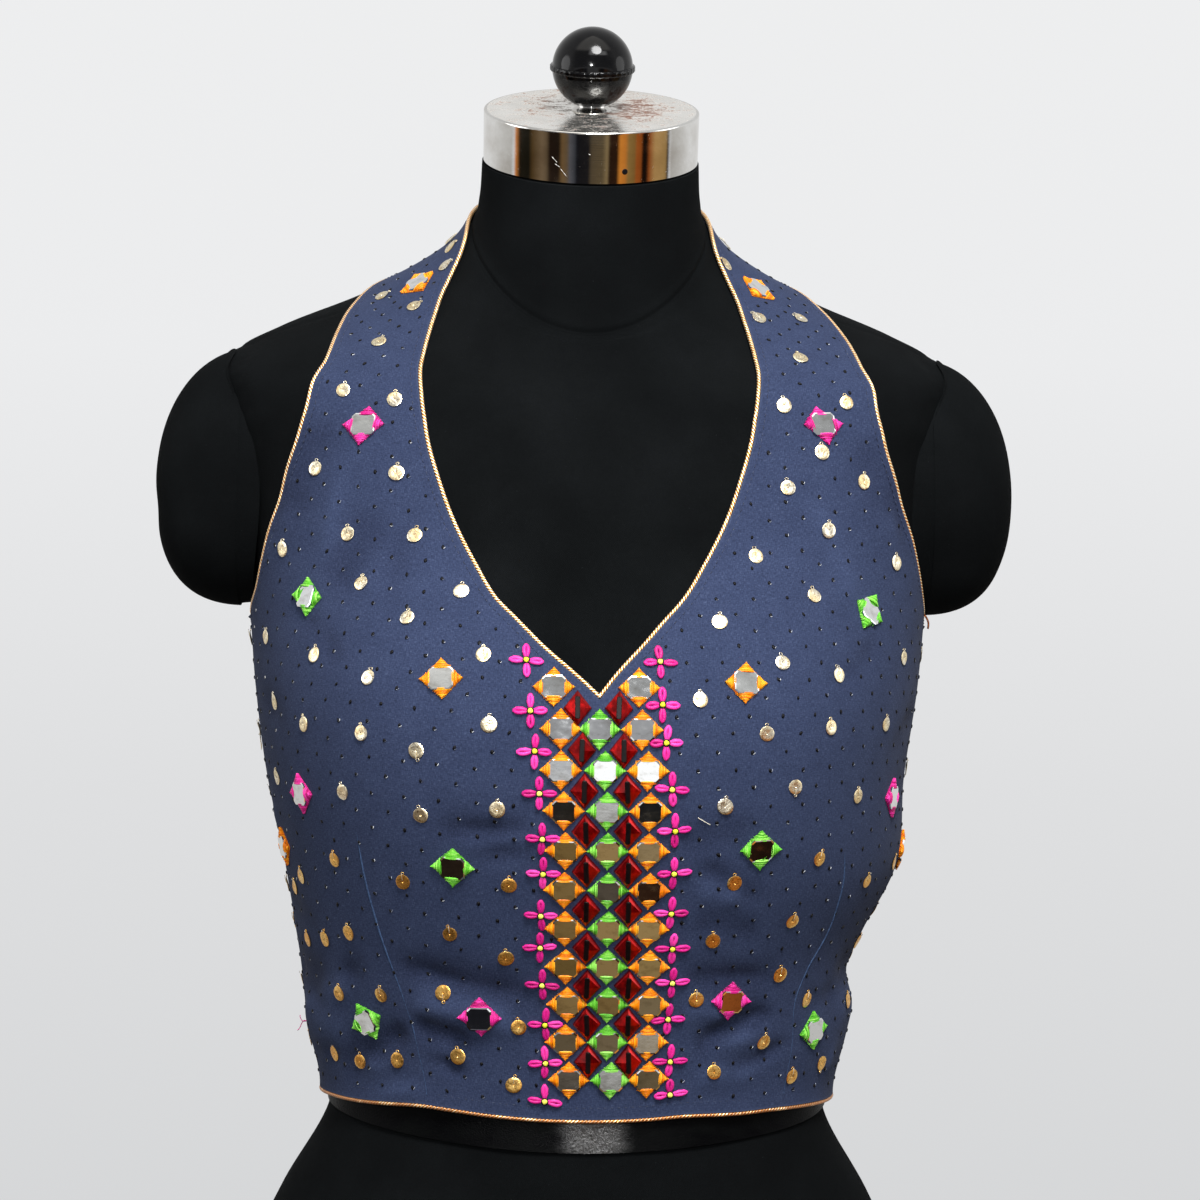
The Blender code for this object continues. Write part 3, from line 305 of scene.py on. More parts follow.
SEQUIN_LEANS = (  # degrees across and up that sequins lean, from number 3 on; None is left to chance
    (-1, 0), (-1, 0), (-1, 5), (2, 2), (-4, 0), (-2, -6), (6, -2), (-1, -3), (0, 5), (0, 1), (0, 0),
    (2, -3), (0, 3), (0, 0), (1, 3), (0, 1), (-1, 2), (0, -1), (0, -3), (0, 6), (-2, 0), (-2, 2),
    (0, 1), (-3, -1), (-1, -6), (0, 0), (0, -1), (-5, 0), (0, 0), (-1, 0), (0, 0), (0, 0), (1, 0),
    (-2, 0), (-6, -2), (2, 2), (5, 2), (0, 4), (0, -3), (0, 0), (-6, -1), (0, -4), (-3, -6), (-1, -3),
    None, (0, 0), None, (0, 0), (0, 2), (3, 0), (3, -2), (1, -1), (0, 0), (-6, 0), (-3, 5), (0, -1),
    (0, 0), (0, 0), (3, -3), (0, 0), (0, 3), (-2, -1), (2, 5), (0, -2), (1, 3), (6, -4), (0, 2),
    (6, -6), (-3, -1), (-3, 1), (0, 0), None, (-1, 2), (-3, 2), None, (1, 0), (0, -1), (0, 2), (0, 0),
    (-4, 3), (0, 0), (-2, 1), (0, -2),
)
FLOWERS = (  # (distance from the centre front, z) of each daisy beside the band
    (-28.8, 432.5), (-30.2, 411.7), (-30, 395.2), (-28.9, 377.3), (-28.2, 357.8), (-28.3, 342.5),
    (-29.3, 323.9), (-29.4, 309.5), (-28.7, 292.3), (-28, 274.1), (-28.2, 256.5), (-28.8, 239),
    (27.8, 432.5), (26.0, 414.9), (25.9, 399.3), (27.2, 379.7), (28.0, 361.9), (27.4, 343.3),
    (26.4, 325.5), (27.1, 309.5), (27.1, 293.8), (25.1, 277.1), (25.6, 257.2), (25.3, 241.1),
)
LOWEST_FLOWER = 242.0  # a daisy lower than this has no petal pointing down

SATIN_THREAD = 0.29  # radius of one lay of satin stitch
SATIN_PITCH = 0.5
SATIN_TOP, SATIN_FALL = 2.0, 0.85  # how high the floss stands at the glass, and its fall towards the points
GLASS_RISE = 1.7
GLASS_THICK = 0.75
PETAL_LENGTH = 7.4
PETAL_WIDE = 4.1
PETAL_THREAD = 0.93
KNOT_RADIUS = 1.25
SEQUIN_RADIUS = 3.6
SEED_PITCH = 16.0  # the dark seed stitches: spacing along a row,
SEED_ROWS = 7.7  # and between rows
TOPSTITCH_INSET = 3.2
TOPSTITCH_LENGTH = 2.1
TOPSTITCH_PITCH = 3.1


def smooth(places, values, at):
    """A smooth curve through values at places, read at each place of at. Values may have columns."""
    places = np.asarray(places, float)
    values = np.asarray(values, float)
    slopes = np.gradient(values, places, axis=0)
    at = np.clip(np.asarray(at, float), places[0], places[-1])
    row = np.clip(np.searchsorted(places, at, side="right") - 1, 0, len(places) - 2)
    span = places[row + 1] - places[row]
    t = (at - places[row]) / span
    if values.ndim > 1:
        t = t[..., None]
        span = span[..., None]
    return (
        (2 * t**3 - 3 * t**2 + 1) * values[row]
        + (t**3 - 2 * t**2 + t) * span * slopes[row]
        + (3 * t**2 - 2 * t**3) * values[row + 1]
        + (t**3 - t**2) * span * slopes[row + 1]
    )


def ease(share):
    share = np.clip(share, 0, 1)
    return share * share * (3 - 2 * share)


def unit(vectors):
    return vectors / np.linalg.norm(vectors, axis=-1, keepdims=True)


# ---- surfaces


def cup(x, z, reach):
    across = np.hypot(x, reach.soft) - CUP_X
    up = z - CUP_Z
    wide = np.where(across < 0, reach.inner, reach.outer)
    tall = np.where(up < 0, reach.down, reach.up)
    return CUP_RISE * np.clip(1 - (across / wide) ** 2 - (up / tall) ** 2, 0, 1) ** 2


def figure(turn, level, dressed):
    """Points of the bare form, or of the figure that the cloth follows, in mm."""
    turn, level = np.broadcast_arrays(np.asarray(turn, float), np.asarray(level, float))
    row = smooth(LEVELS, SECTION_SIZES, level)
    side_z, front_z, back_z, half_width, front_y, back_y, power, sway, *eases = np.moveaxis(row, -1, 0)
    if dressed:
        half_width = half_width + eases[0]
        front_y = front_y - eases[1]
        back_y = back_y + eases[2]
    sine = np.sin(np.radians(turn))
    cosine = np.cos(np.radians(turn))
    half_deep = (back_y - front_y) / 2
    reach = (np.abs(sine / half_width) ** power + np.abs(cosine / half_deep) ** power) ** (-1 / power)
    facing = reach * cosine / half_deep
    x = reach * sine + sway * sine**2
    y = (front_y + back_y) / 2 - reach * cosine
    z = side_z - (back_z - front_z) / 2 * facing + ((back_z + front_z) / 2 - side_z) * facing**2
    y = y - cup(x, z, CUP_OF_CLOTH if dressed else CUP_OF_FORM) * ease(facing / CUP_FACING)
    if dressed:
        turns, lifts = np.array(HEM_LIFTS).T
        z = z + smooth(turns, lifts, turn) * ease(1 - (level - HEM_LEVEL) / HEM_REACH)
    return np.stack([x, y, z], -1)


def figure_normal(turn, level, dressed):
    step_turn = 0.2
    step_level = 0.01
    along = figure(turn + step_turn, level, dressed) - figure(turn - step_turn, level, dressed)
    up = figure(turn, level + step_level, dressed) - figure(turn, level - step_level, dressed)
    return unit(np.cross(along, up))


def along_and_across(fold, turn, z):
    """How far along a fold each place lies, as a share, and how far across it in mm."""
    per_degree = FIGURE_RADIUS * math.pi / 180
    start = np.array([fold.turn_a * per_degree, fold.z_a])
    run = np.array([fold.turn_b * per_degree, fold.z_b]) - start
    length = np.linalg.norm(run)
    away = np.stack([turn * per_degree, z], -1) - start
    return away @ run / length**2, (away[..., 0] * run[1] - away[..., 1] * run[0]) / length


def folds(turn, z):
    """How far the folds, and the uneven creases between them, lift the cloth off its plain form."""
    broad = np.zeros(np.broadcast(turn, z).shape)
    for fold in FOLDS:
        along, across = along_and_across(fold, turn, z)
        taper = ease(along / 0.35 + 0.3) * ease((1 - along) / 0.35 + 0.3)
        broad = broad + fold.rise * taper * np.exp(-((across / fold.half_width) ** 2))
    fine = np.zeros(broad.shape)
    for crease in CREASES:
        along, across = along_and_across(crease, turn, z)
        across = across + crease.wave * np.sin(along * 4.2 + crease.z_a)
        taper = ease(along / 0.4 + 0.2) * ease((1 - along) / 0.4 + 0.2)
        uneven = 1 + 0.35 * np.sin(along * 9 + crease.turn_a)
        fine = fine + crease.rise * taper * uneven * np.exp(-((across / crease.half_width) ** 2))
    return broad + fine


def lap(turn, end):
    """The lift of the right-hand layer where it crosses the left one behind."""
    start = 360 - end
    return LAP_LIFT * ease((turn - start + LAP_RAMP) / (LAP_RAMP - 1))


def cloth(turn, level, height, end=BACK_END):
    """A point of the cloth: height 0 is its inner face, WALL its outer face."""
    turn = np.asarray(turn, float)
    level = np.asarray(level, float)
    place = figure(turn, level, True)
    lift = CLEAR + folds(turn, place[..., 2]) + lap(turn, end) + height
    return place + figure_normal(turn, level, True) * lift[..., None]


def level_at(turn, z, dressed=True):
    """The level at a height z, by halving."""
    low = np.zeros(np.broadcast(turn, z).shape)
    high = np.full(low.shape, LEVELS[-1])
    for _ in range(30):
        middle = (low + high) / 2
        below = figure(turn, middle, dressed)[..., 2] < z
        low = np.where(below, middle, low)
        high = np.where(below, high, middle)
    return (low + high) / 2


# ---- the panels' outlines


def centre_turn(level):
    return smooth(*np.array(CENTRE_LINE).T, level)


def inner_edge(side, row):
    """(turn, level) of the centre front up to the V, then of the neckline."""
    row = np.asarray(row, float)
    neck = smooth([n.row for n in NECKLINE], [n[1:] for n in NECKLINE], row)
    seam = row <= V_ROW
    level = np.where(seam, HEM_LEVEL + (V_LEVEL - HEM_LEVEL) * row / V_ROW, neck[..., 1])
    return np.stack([centre_turn(level) + np.where(seam, 0, side * neck[..., 0]), level], -1)


def outer_edge(side, row):
    """(turn, level) of the side seam up to the underarm, then of the armhole."""
    row = np.asarray(row, float)
    arm = smooth([a.row for a in ARMHOLE], [a[1:] for a in ARMHOLE], row)
    seam = row <= UNDERARM_ROW
    rise = HEM_LEVEL + (ARMHOLE[0].level - HEM_LEVEL) * row / UNDERARM_ROW
    turn = side * np.where(seam, SIDE_SEAM, arm[..., 0]) + np.where(seam, 0, arm[..., 2])
    return np.stack([turn, np.where(seam, rise, arm[..., 1])], -1)


def front_place(side, row, share):
    inner = inner_edge(side, row)
    return inner + (outer_edge(side, row) - inner) * np.asarray(share)[..., None]


def back_place(side, rise, share):
    """(turn, level) on a back half: share 0 is the side seam, 1 the centre back; rise 0 is its hem."""
    share = np.asarray(share, float)
    turn = SIDE_SEAM + SEAM_TURN + (BACK_END - SIDE_SEAM - SEAM_TURN) * share
    top = smooth(*np.array(BACK_TOP).T, share)
    return np.stack([side * turn, HEM_LEVEL + (top - HEM_LEVEL) * rise], -1)


# ---- places on the cloth


def on_cloth(turn, level, across, up, height):
    """Points of the cloth a few mm across and up from (turn, level), height above its outer face."""
    here = figure(turn, level, True)
    per_turn = np.linalg.norm(figure(turn + 1, level, True) - here, axis=-1)
    per_level = np.linalg.norm(figure(turn, level + 0.1, True) - here, axis=-1) / 0.1
    return cloth(turn + across / per_turn, level + up / per_level, WALL + height)


def seat(turn, level):
    """The point of the cloth at (turn, level), with its directions across, up and out."""
    turn = np.asarray(turn, float)
    level = np.asarray(level, float)
    origin = cloth(turn, level, WALL)
    across = unit(cloth(turn + 1.2, level, WALL) - cloth(turn - 1.2, level, WALL))
    up = unit(cloth(turn, level + 0.05, WALL) - cloth(turn, level - 0.05, WALL))
    out = unit(np.cross(across, up))
    return origin, across, np.cross(out, across), out


def band_place(across, z):
    """(turn, level) at a distance across from the centre front line and at a height z."""
    turn = centre_turn(level_at(0.0, z))
    level = level_at(turn, z)
    here = figure(turn, level, True)
    per_turn = np.linalg.norm(figure(turn + 1, level, True) - here, axis=-1)
    return turn + across / per_turn, level


TURN_STEP, LEVEL_STEP = 2.0, 0.1
TURN_GRID = np.arange(-192.0, 193.0, TURN_STEP)
LEVEL_GRID = np.arange(6.0, 21.3, LEVEL_STEP)


def thread_grids():
    """Lengths along the cloth, in mm: across from turn 0, and up from the hem."""
    turns, levels = np.meshgrid(TURN_GRID, LEVEL_GRID, indexing="ij")
    points = figure(turns, levels, True)
    across = np.linalg.norm(np.diff(points, axis=0), axis=-1)
    across = np.vstack([np.zeros(len(LEVEL_GRID)), np.cumsum(across, axis=0)])
    across -= across[len(TURN_GRID) // 2]
    up = np.linalg.norm(np.diff(points, axis=1), axis=-1)
    up = np.hstack([np.zeros((len(TURN_GRID), 1)), np.cumsum(up, axis=1)])
    return across, up


ACROSS_GRID, UP_GRID = thread_grids()


def read_grid(grid, turn, level):
    i = np.clip((turn - TURN_GRID[0]) / TURN_STEP, 0, len(TURN_GRID) - 1.001)
    j = np.clip((level - LEVEL_GRID[0]) / LEVEL_STEP, 0, len(LEVEL_GRID) - 1.001)
    a, b = i.astype(int), j.astype(int)
    s, t = i - a, j - b
    low = grid[a, b] * (1 - s) + grid[a + 1, b] * s
    high = grid[a, b + 1] * (1 - s) + grid[a + 1, b + 1] * s
    return low * (1 - t) + high * t


# ---- meshes


def points_of(mesh):
    points = np.empty(len(mesh.vertices) * 3)
    mesh.vertices.foreach_get("co", points)
    return points.reshape(-1, 3)


def set_points(mesh, points):
    """Moves the mesh's points to these, given in mm."""
    mesh.vertices.foreach_set("co", (np.asarray(points, float) * MM).ravel())
    mesh.update()


def set_marks(mesh, name, values):
    """Stores a number, or three, at each point of the mesh for its material to read."""
    values = np.asarray(values, float)
    kind = "FLOAT" if values.ndim == 1 else "FLOAT_VECTOR"
    layer = mesh.attributes.new(name, kind, "POINT")
    layer.data.foreach_set("value" if values.ndim == 1 else "vector", values.ravel())


def random_tones(mesh, low, high, count):
    """Gives each of the count copies in the mesh a tone of its own."""
    set_marks(mesh, "tone", np.repeat(chance.uniform(low, high, count), len(mesh.vertices) // count))


def to_mesh(bm):
    mesh = bpy.data.meshes.new("shape")
    bm.to_mesh(mesh)
    bm.free()
    return mesh


def grid(columns, rows):
    """A square sheet of faces from (0, 0) to (1, 1), whose points are then moved into place."""
    bm = bmesh.new()
    bmesh.ops.create_grid(bm, x_segments=columns, y_segments=rows, size=0.5)
    bmesh.ops.translate(bm, vec=(0.5, 0.5, 0), verts=bm.verts)
    return bm


ROLL_LENGTH = 9  # length of a rolled sheet of radius 1, until its points are moved into place


def rolled(columns, rows, ends=True):
    """A sheet rolled into a tube: x is the share round it, y the share along it, and its seam is closed."""
    bm = grid(columns, rows)
    for vert in bm.verts:
        turn = 2 * math.pi * vert.co.x
        vert.co = (math.cos(turn), vert.co.y * ROLL_LENGTH, math.sin(turn))
    bmesh.ops.remove_doubles(bm, verts=bm.verts, dist=1e-4)
    if ends:
        bmesh.ops.holes_fill(bm, edges=[e for e in bm.edges if e.is_boundary], sides=0)
    bmesh.ops.recalc_face_normals(bm, faces=bm.faces)
    return bm


def rolled_places(points):
    """(share round, share along) of a rolled sheet's points."""
    round_share = (np.arctan2(points[:, 2], points[:, 0]) / (2 * math.pi)) % 1.0
    return round_share, points[:, 1] / ROLL_LENGTH


def rolled_angles(points):
    """(angle round, share along) of a rolled sheet's points."""
    round_share, share = rolled_places(points)
    return round_share * 2 * math.pi, share


def repeat(bm, count):
    """A mesh of count copies of the bmesh, and one copy's points."""
    single = to_mesh(bm)
    many = bmesh.new()
    for _ in range(count):
        many.from_mesh(single)
    points = points_of(single)
    bpy.data.meshes.remove(single)
    return to_mesh(many), points


def lathe(profile, steps):
    """A closed turned shape about z from (radius, height) points, first and last on the axis."""
    bm = bmesh.new()
    verts = [bm.verts.new((radius, 0, height)) for radius, height in profile]
    edges = [bm.edges.new(pair) for pair in zip(verts, verts[1:])]
    bmesh.ops.spin(
        bm, geom=verts + edges, cent=(0, 0, 0), axis=(0, 0, 1), angle=2 * math.pi, steps=steps,
        use_merge=True,
    )
    bmesh.ops.remove_doubles(bm, verts=bm.verts, dist=1e-4)
    bmesh.ops.recalc_face_normals(bm, faces=bm.faces)
    return bm


WALL_SHARP = 50  # degrees between faces above which an edge is sharp


def add_object(name, data):
    made = bpy.data.objects.new(name, data)
    bpy.context.scene.collection.objects.link(made)
    return made


def add_piece(mesh, name, finish, nodes=(), sharp=None, more=()):
    """The mesh as a piece of the object, in the given finishes."""
    mesh.name = name
    mesh.shade_smooth()
    if sharp is not None:
        mesh.set_sharp_from_angle(angle=math.radians(sharp))
    for each in (finish, *more):
        mesh.materials.append(each)
    piece = add_object(name, mesh)
    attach(piece, "root")
    if nodes:
        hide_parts(*nodes)
    return piece


def thicken(piece, wall):
    """Gives the piece's sheet a wall, in mm, on its inner side."""
    solidify = piece.modifiers.new("wall", "SOLIDIFY")
    solidify.thickness = wall * MM
    solidify.offset = -1
    graph = bpy.context.evaluated_depsgraph_get()
    made = bpy.data.meshes.new_from_object(piece.evaluated_get(graph))
    piece.modifiers.clear()
    piece.data = made
    made.name = piece.name
    made.set_sharp_from_angle(angle=math.radians(WALL_SHARP))
    return piece


def evenly(line, step, *others):
    """The line's points at an even step along it, in mm, and its companions read at the same places."""
    run = np.concatenate([[0], np.cumsum(np.linalg.norm(np.diff(line, axis=0), axis=1))])
    at = np.linspace(0, run[-1], max(2, int(round(run[-1] / step)) + 1))
    read = [
        np.stack([np.interp(at, run, values[:, k]) for k in range(values.shape[1])], -1)
        for values in (line, *others)
    ]
    return (at, *read)


def tube(line, outs, radius, sides, step):
    """A tube of mesh along the line: radius takes (share round, mm along) and gives mm."""
    along, line, outs = evenly(line, step, outs)
    mesh = to_mesh(rolled(sides, len(line) - 1))
    round_share, share = rolled_places(points_of(mesh))
    ring = np.clip(np.rint(share * (len(line) - 1)).astype(int), 0, len(line) - 1)
    forward = unit(np.gradient(line, axis=0))
    sideways = unit(np.cross(forward, outs))
    outward = np.cross(sideways, forward)
    angle = round_share * 2 * math.pi
    reach = radius(round_share, along[ring])[:, None]
    set_points(mesh, line[ring] + reach * (
        np.cos(angle)[:, None] * sideways[ring] + np.sin(angle)[:, None] * outward[ring]
    ))
    set_marks(mesh, "run", np.stack([round_share, along[ring] * MM, np.zeros(len(ring))], -1))
    return face_outward(mesh)


def face_outward(mesh, weld=None):
    """Turns the mesh's faces to point outwards. Points within weld, in metres, are joined first."""
    bm = bmesh.new()
    bm.from_mesh(mesh)
    if weld:
        bmesh.ops.remove_doubles(bm, verts=bm.verts, dist=weld)
    bmesh.ops.recalc_face_normals(bm, faces=bm.faces)
    bm.to_mesh(mesh)
    bm.free()
    return mesh


# ---- finishes


def paint(red, green, blue):
    """A colour given in screen values from 0 to 255, as the shaders take it."""
    shares = np.array([red, green, blue]) / 255
    linear = np.where(shares <= 0.04045, shares / 12.92, ((shares + 0.055) / 1.055) ** 2.4)
    return (*(float(value) for value in linear), 1.0)


class Nodes:
    """Short words for the nodes of one tree."""

    def __init__(self, tree):
        self.tree = tree

    def node(self, kind, **settings):
        made = self.tree.nodes.new("ShaderNode" + kind)
        for setting, value in settings.items():
            setattr(made, setting, value)
        return made

    def feed(self, socket, value):
        if isinstance(value, bpy.types.NodeSocket):
            self.tree.links.new(value, socket)
        else:
            socket.default_value = value

    def fed(self, made, output, **sockets):
        """The node's output, once its sockets of these names are fed."""
        for socket, value in sockets.items():
            self.feed(made.inputs[socket.replace("_", " ")], value)
        return made.outputs[output]

    def math(self, operation, first, second=0.0):
        made = self.node("Math", operation=operation)
        self.feed(made.inputs[0], first)
        self.feed(made.inputs[1], second)
        return made.outputs["Value"]

    def times(self, first, second):
        return self.math("MULTIPLY", first, second)

    def total(self, first, *others):
        for other in others:
            first = self.math("ADD", first, other)
        return first

    def about(self, noise, share):
        """A noise taken down to vary about 0, times a share."""
        return self.times(self.math("SUBTRACT", noise, 0.5), share)

    def stretch(self, value, low, high, to_low=0.0, to_high=1.0, shape="SMOOTHSTEP"):
        made = self.node("MapRange", interpolation_type=shape)
        return self.fed(
            made, "Result", Value=value, From_Min=low, From_Max=high, To_Min=to_low, To_Max=to_high,
        )

    def ramp(self, value, stops):
        """A colour read from (place, colour) stops."""
        made = self.node("ValToRGB")
        elements = made.color_ramp.elements
        while len(elements) < len(stops):
            elements.new(0.5)
        for element, (place, colour) in zip(elements, stops):
            element.position = place
            element.color = (*colour[:3], 1)
        return self.fed(made, "Color", Fac=value)

    def painted(self, value, *stops):
        """A colour read from stops of (place, red, green, blue), as paint takes them."""
        return self.ramp(value, [(place, paint(*colour)) for place, *colour in stops])

    def mix(self, share, first, second):
        made = self.node("Mix", data_type="RGBA")
        for socket, given in zip((made.inputs["Factor"], *made.inputs[6:8]), (share, first, second)):
            self.feed(socket, given)
        return made.outputs[2]


class Recipe(Nodes):
    """A material, made from its nodes."""

    def __init__(self, name, roughness, metallic=0.0, **sockets):
        self.material = bpy.data.materials.new(name)
        self.material.use_nodes = True
        super().__init__(self.material.node_tree)
        self.shader = self.tree.nodes["Principled BSDF"]
        self.finish(Roughness=roughness, Metallic=metallic, **sockets)

    def finish(self, **sockets):
        self.fed(self.shader, "BSDF", **sockets)

    def scaled(self, vector, scale):
        return self.fed(self.node("Mapping"), "Vector", Vector=vector, Scale=scale)

    def places(self, *scale):
        """Object coordinates in metres, times the scale along each axis."""
        return self.scaled(self.node("TexCoord").outputs["Object"], scale * (3 // len(scale)))

    def marks(self, name, across, along):
        """The piece's own marks of that name, times the scale along each axis."""
        marks = self.node("Attribute", attribute_name=name).outputs["Vector"]
        return self.scaled(marks, (across, along, 1))

    def mark(self, name):
        return self.node("Attribute", attribute_name=name).outputs["Fac"]

    def noise(self, vector, detail=2.0, roughness=0.5, distortion=0.0):
        return self.fed(
            self.node("TexNoise"), "Fac",
            Vector=vector, Scale=1.0, Detail=detail, Roughness=roughness, Distortion=distortion,
        )

    def bands(self, vector, distortion):
        made = self.node("TexWave", wave_type="BANDS", bands_direction="Z")
        return self.fed(made, "Fac", Vector=vector, Scale=1.0, Distortion=distortion, Detail=1.0)

    def colour(self, value):
        self.finish(Base_Color=value)

    def roughness(self, value):
        self.finish(Roughness=value)

    def bump(self, height, strength, depth):
        made = self.node("Bump")
        self.finish(Normal=self.fed(made, "Normal", Strength=strength, Distance=depth, Height=height))
        return self.material


def chambray():
    """Indigo cotton: dark warp and paler weft, finely slubbed, and worn paler along its edges; darker in the
    troughs of its folds as painted shade, and paler on their ridges as wear and painted light.
    """
    make = Recipe("chambray", 0.92, Specular_IOR_Level=0.1, Sheen_Weight=0.02, Sheen_Roughness=0.5)
    warp = make.noise(make.marks("thread", 2700, 620), 2)
    weft = make.noise(make.marks("thread", 620, 2700), 2)
    fleck = make.noise(make.marks("thread", 1500, 1500), 1)
    slub = make.noise(make.marks("thread", 1100, 150), 2)
    slub_across = make.noise(make.marks("thread", 120, 1100), 2)
    mottle = make.noise(make.marks("thread", 70, 70), 4, 0.6)
    weave = make.total(make.times(warp, 0.5), make.times(weft, 0.5))
    tone = make.total(weave, make.about(slub, 0.1), make.about(slub_across, 0.1), make.about(mottle, 0.16))
    indigo = make.painted(
        tone, (0.3, 27, 34, 53), (0.45, 42, 51, 77), (0.56, 52, 62, 90), (0.72, 77, 88, 117)
    )
    indigo = make.mix(make.stretch(fleck, 0.5, 0.75, 0.0, 0.3), indigo, paint(58, 60, 80))
    worn = make.stretch(make.mark("edge"), 1.2, 0.0, 0.0, 0.5)
    indigo = make.mix(worn, indigo, paint(73, 83, 110))
    # painted light and shade: the folds' lift darkens the cloth in their troughs as painted shade, and makes
    # it paler on their ridges as painted light and wear
    wear_and_painted_shade = make.stretch(make.mark("lift"), -1.6, 1.6)
    shaded_colour = make.mix(0.35, indigo, paint(17, 20, 36))
    make.colour(make.mix(wear_and_painted_shade, shaded_colour, make.mix(0.16, indigo, paint(78, 92, 126))))
    make.roughness(make.stretch(weave, 0.3, 0.7, 0.96, 0.84))
    return make.bump(weave, 0.45, 0.0002)


def pale_seam():
    """The same cotton where a seam's fold stands up and is worn paler."""
    make = Recipe("pale_seam", 0.9, Specular_IOR_Level=0.12)
    weave = make.noise(make.places(1800, 1800, 900), 2)
    make.colour(make.painted(weave, (0.3, 42, 55, 83), (0.7, 68, 90, 124)))
    return make.bump(weave, 0.5, 0.0003)


def gold_piping():
    """Woven metallic gold tissue, cut on the bias, so that its threads cross the cord aslant; painted
    highlight on the twist's ridges, painted shade between them, and painted shade on the hem's piping.
    """
    make = Recipe("gold_piping", 0.34, 0.75)
    lame = make.noise(make.marks("run", 9, 3000), 3, 0.6)
    patch = make.noise(make.marks("run", 2, 140), 2)
    # painted highlight and shade: the colour follows the ridge mark, bright on the twist's ridges and dark
    # in the grooves between them
    tone = make.total(make.times(make.mark("ridge"), 0.45), make.times(lame, 0.4), make.times(patch, 0.2))
    gold = make.painted(
        tone, (0.3, 96, 42, 8), (0.44, 206, 124, 44), (0.56, 255, 206, 124), (0.7, 255, 250, 226)
    )
    # painted shade on the hem's piping: its gold turns dull brown, except in patches that stay bright as
    # painted glints
    bare = make.stretch(make.noise(make.marks("run", 1, 90), 2), 0.52, 0.66)
    wear_and_painted_shade = make.times(make.mark("tarnish_and_painted_shade"), make.stretch(bare, 0.0, 1.0, 0.75, 0.1))
    make.colour(make.mix(wear_and_painted_shade, gold, paint(150, 84, 36)))
    make.roughness(make.stretch(lame, 0.3, 0.7, 0.46, 0.22))
    return make.bump(tone, 0.8, 0.0004)


def satin(name, dark, plain, light):
    """Lustrous rayon floss: each lay of thread has its own tone, with fine filaments along it."""
    make = Recipe(name, 0.46, Sheen_Weight=0.04, Sheen_Roughness=0.3, Specular_IOR_Level=0.3)
    strands = make.noise(make.places(2600), 2)
    tone = make.total(make.times(strands, 0.45), make.times(make.mark("tone"), 0.55))
    make.colour(make.painted(tone, (0.2, *dark), (0.5, *plain), (0.8, *light)))
    make.roughness(make.stretch(strands, 0.3, 0.7, 0.55, 0.34))
    return make.bump(strands, 0.45, 0.0002)


def mirror_glass():
    """Thin silvered glass, with faint specks and smears."""
    make = Recipe("mirror_glass", 0.04, 1.0, Coat_Weight=1.0, Coat_Roughness=0.02)
    smear = make.noise(make.places(160, 160, 240), 3, 0.6)
    specks = make.noise(make.places(1500), 2)
    tone = make.math("SUBTRACT", smear, make.stretch(specks, 0.68, 0.8, 0.0, 0.3))
    make.colour(make.painted(tone, (0.2, 196, 194, 188), (0.5, 238, 240, 240)))
    make.roughness(make.stretch(smear, 0.4, 0.8, 0.02, 0.12))
    return make.bump(smear, 0.05, 0.0002)


def red_stone():
    """Foiled red glass cut in facets."""
    make = Recipe("red_stone", 0.12, 0.8, Coat_Weight=0.25, Coat_Roughness=0.03)
    depth = make.noise(make.places(260, 260, 180), 3, 0.6)
    make.colour(make.painted(depth, (0.3, 88, 2, 4), (0.5, 150, 5, 8), (0.75, 208, 16, 17)))
    make.roughness(make.stretch(depth, 0.3, 0.7, 0.08, 0.22))
    return make.bump(depth, 0.08, 0.0003)


def stone_heart():
    """The dark ridge down the middle of a stone, which reflects next to nothing."""
    make = Recipe("stone_heart", 0.35, Specular_IOR_Level=0.1)
    depth = make.noise(make.places(900, 900, 400), 2)
    make.colour(make.painted(depth, (0.3, 6, 4, 5), (0.7, 18, 9, 10)))
    return make.bump(depth, 0.1, 0.0002)


def gold_sequin():
    """Gold foil pressed with fine wandering lines and varied at random in tone; a mark painted by height
    turns it from pale gold high up to a deeper gold lower down, as painted highlight and painted shade.
    """
    make = Recipe("gold_sequin", 0.3, 1.0)
    wander = make.noise(make.places(420), 2, 0.5, 1.2)
    line = make.stretch(make.math("ABSOLUTE", make.math("SUBTRACT", wander, 0.5)), 0.0, 0.045, 1.0, 0.0)
    tarnish_and_painted_shade = make.noise(make.places(110), 2)
    pale = make.painted(tarnish_and_painted_shade, (0.36, 232, 208, 158), (0.5, 244, 230, 194), (0.64, 248, 241, 220))
    shaded_colour = make.painted(tarnish_and_painted_shade, (0.36, 226, 168, 84), (0.5, 240, 190, 104), (0.64, 250, 210, 132))
    gold = make.mix(make.mark("tarnish_and_painted_shade"), pale, shaded_colour)
    make.colour(make.mix(make.times(line, 0.75), gold, paint(112, 70, 28)))
    make.roughness(make.stretch(tarnish_and_painted_shade, 0.3, 0.7, 0.4, 0.26))
    return make.bump(wander, 0.4, 0.0004)


def seed_thread():
    """Dark glazed thread of the seed stitches."""
    make = Recipe("seed_thread", 0.5, Specular_IOR_Level=0.15)
    twist = make.noise(make.places(2600, 2600, 1200), 2)
    make.colour(make.painted(twist, (0.4, 2, 2, 4), (0.75, 9, 10, 16)))
    return make.bump(twist, 0.4, 0.0003)


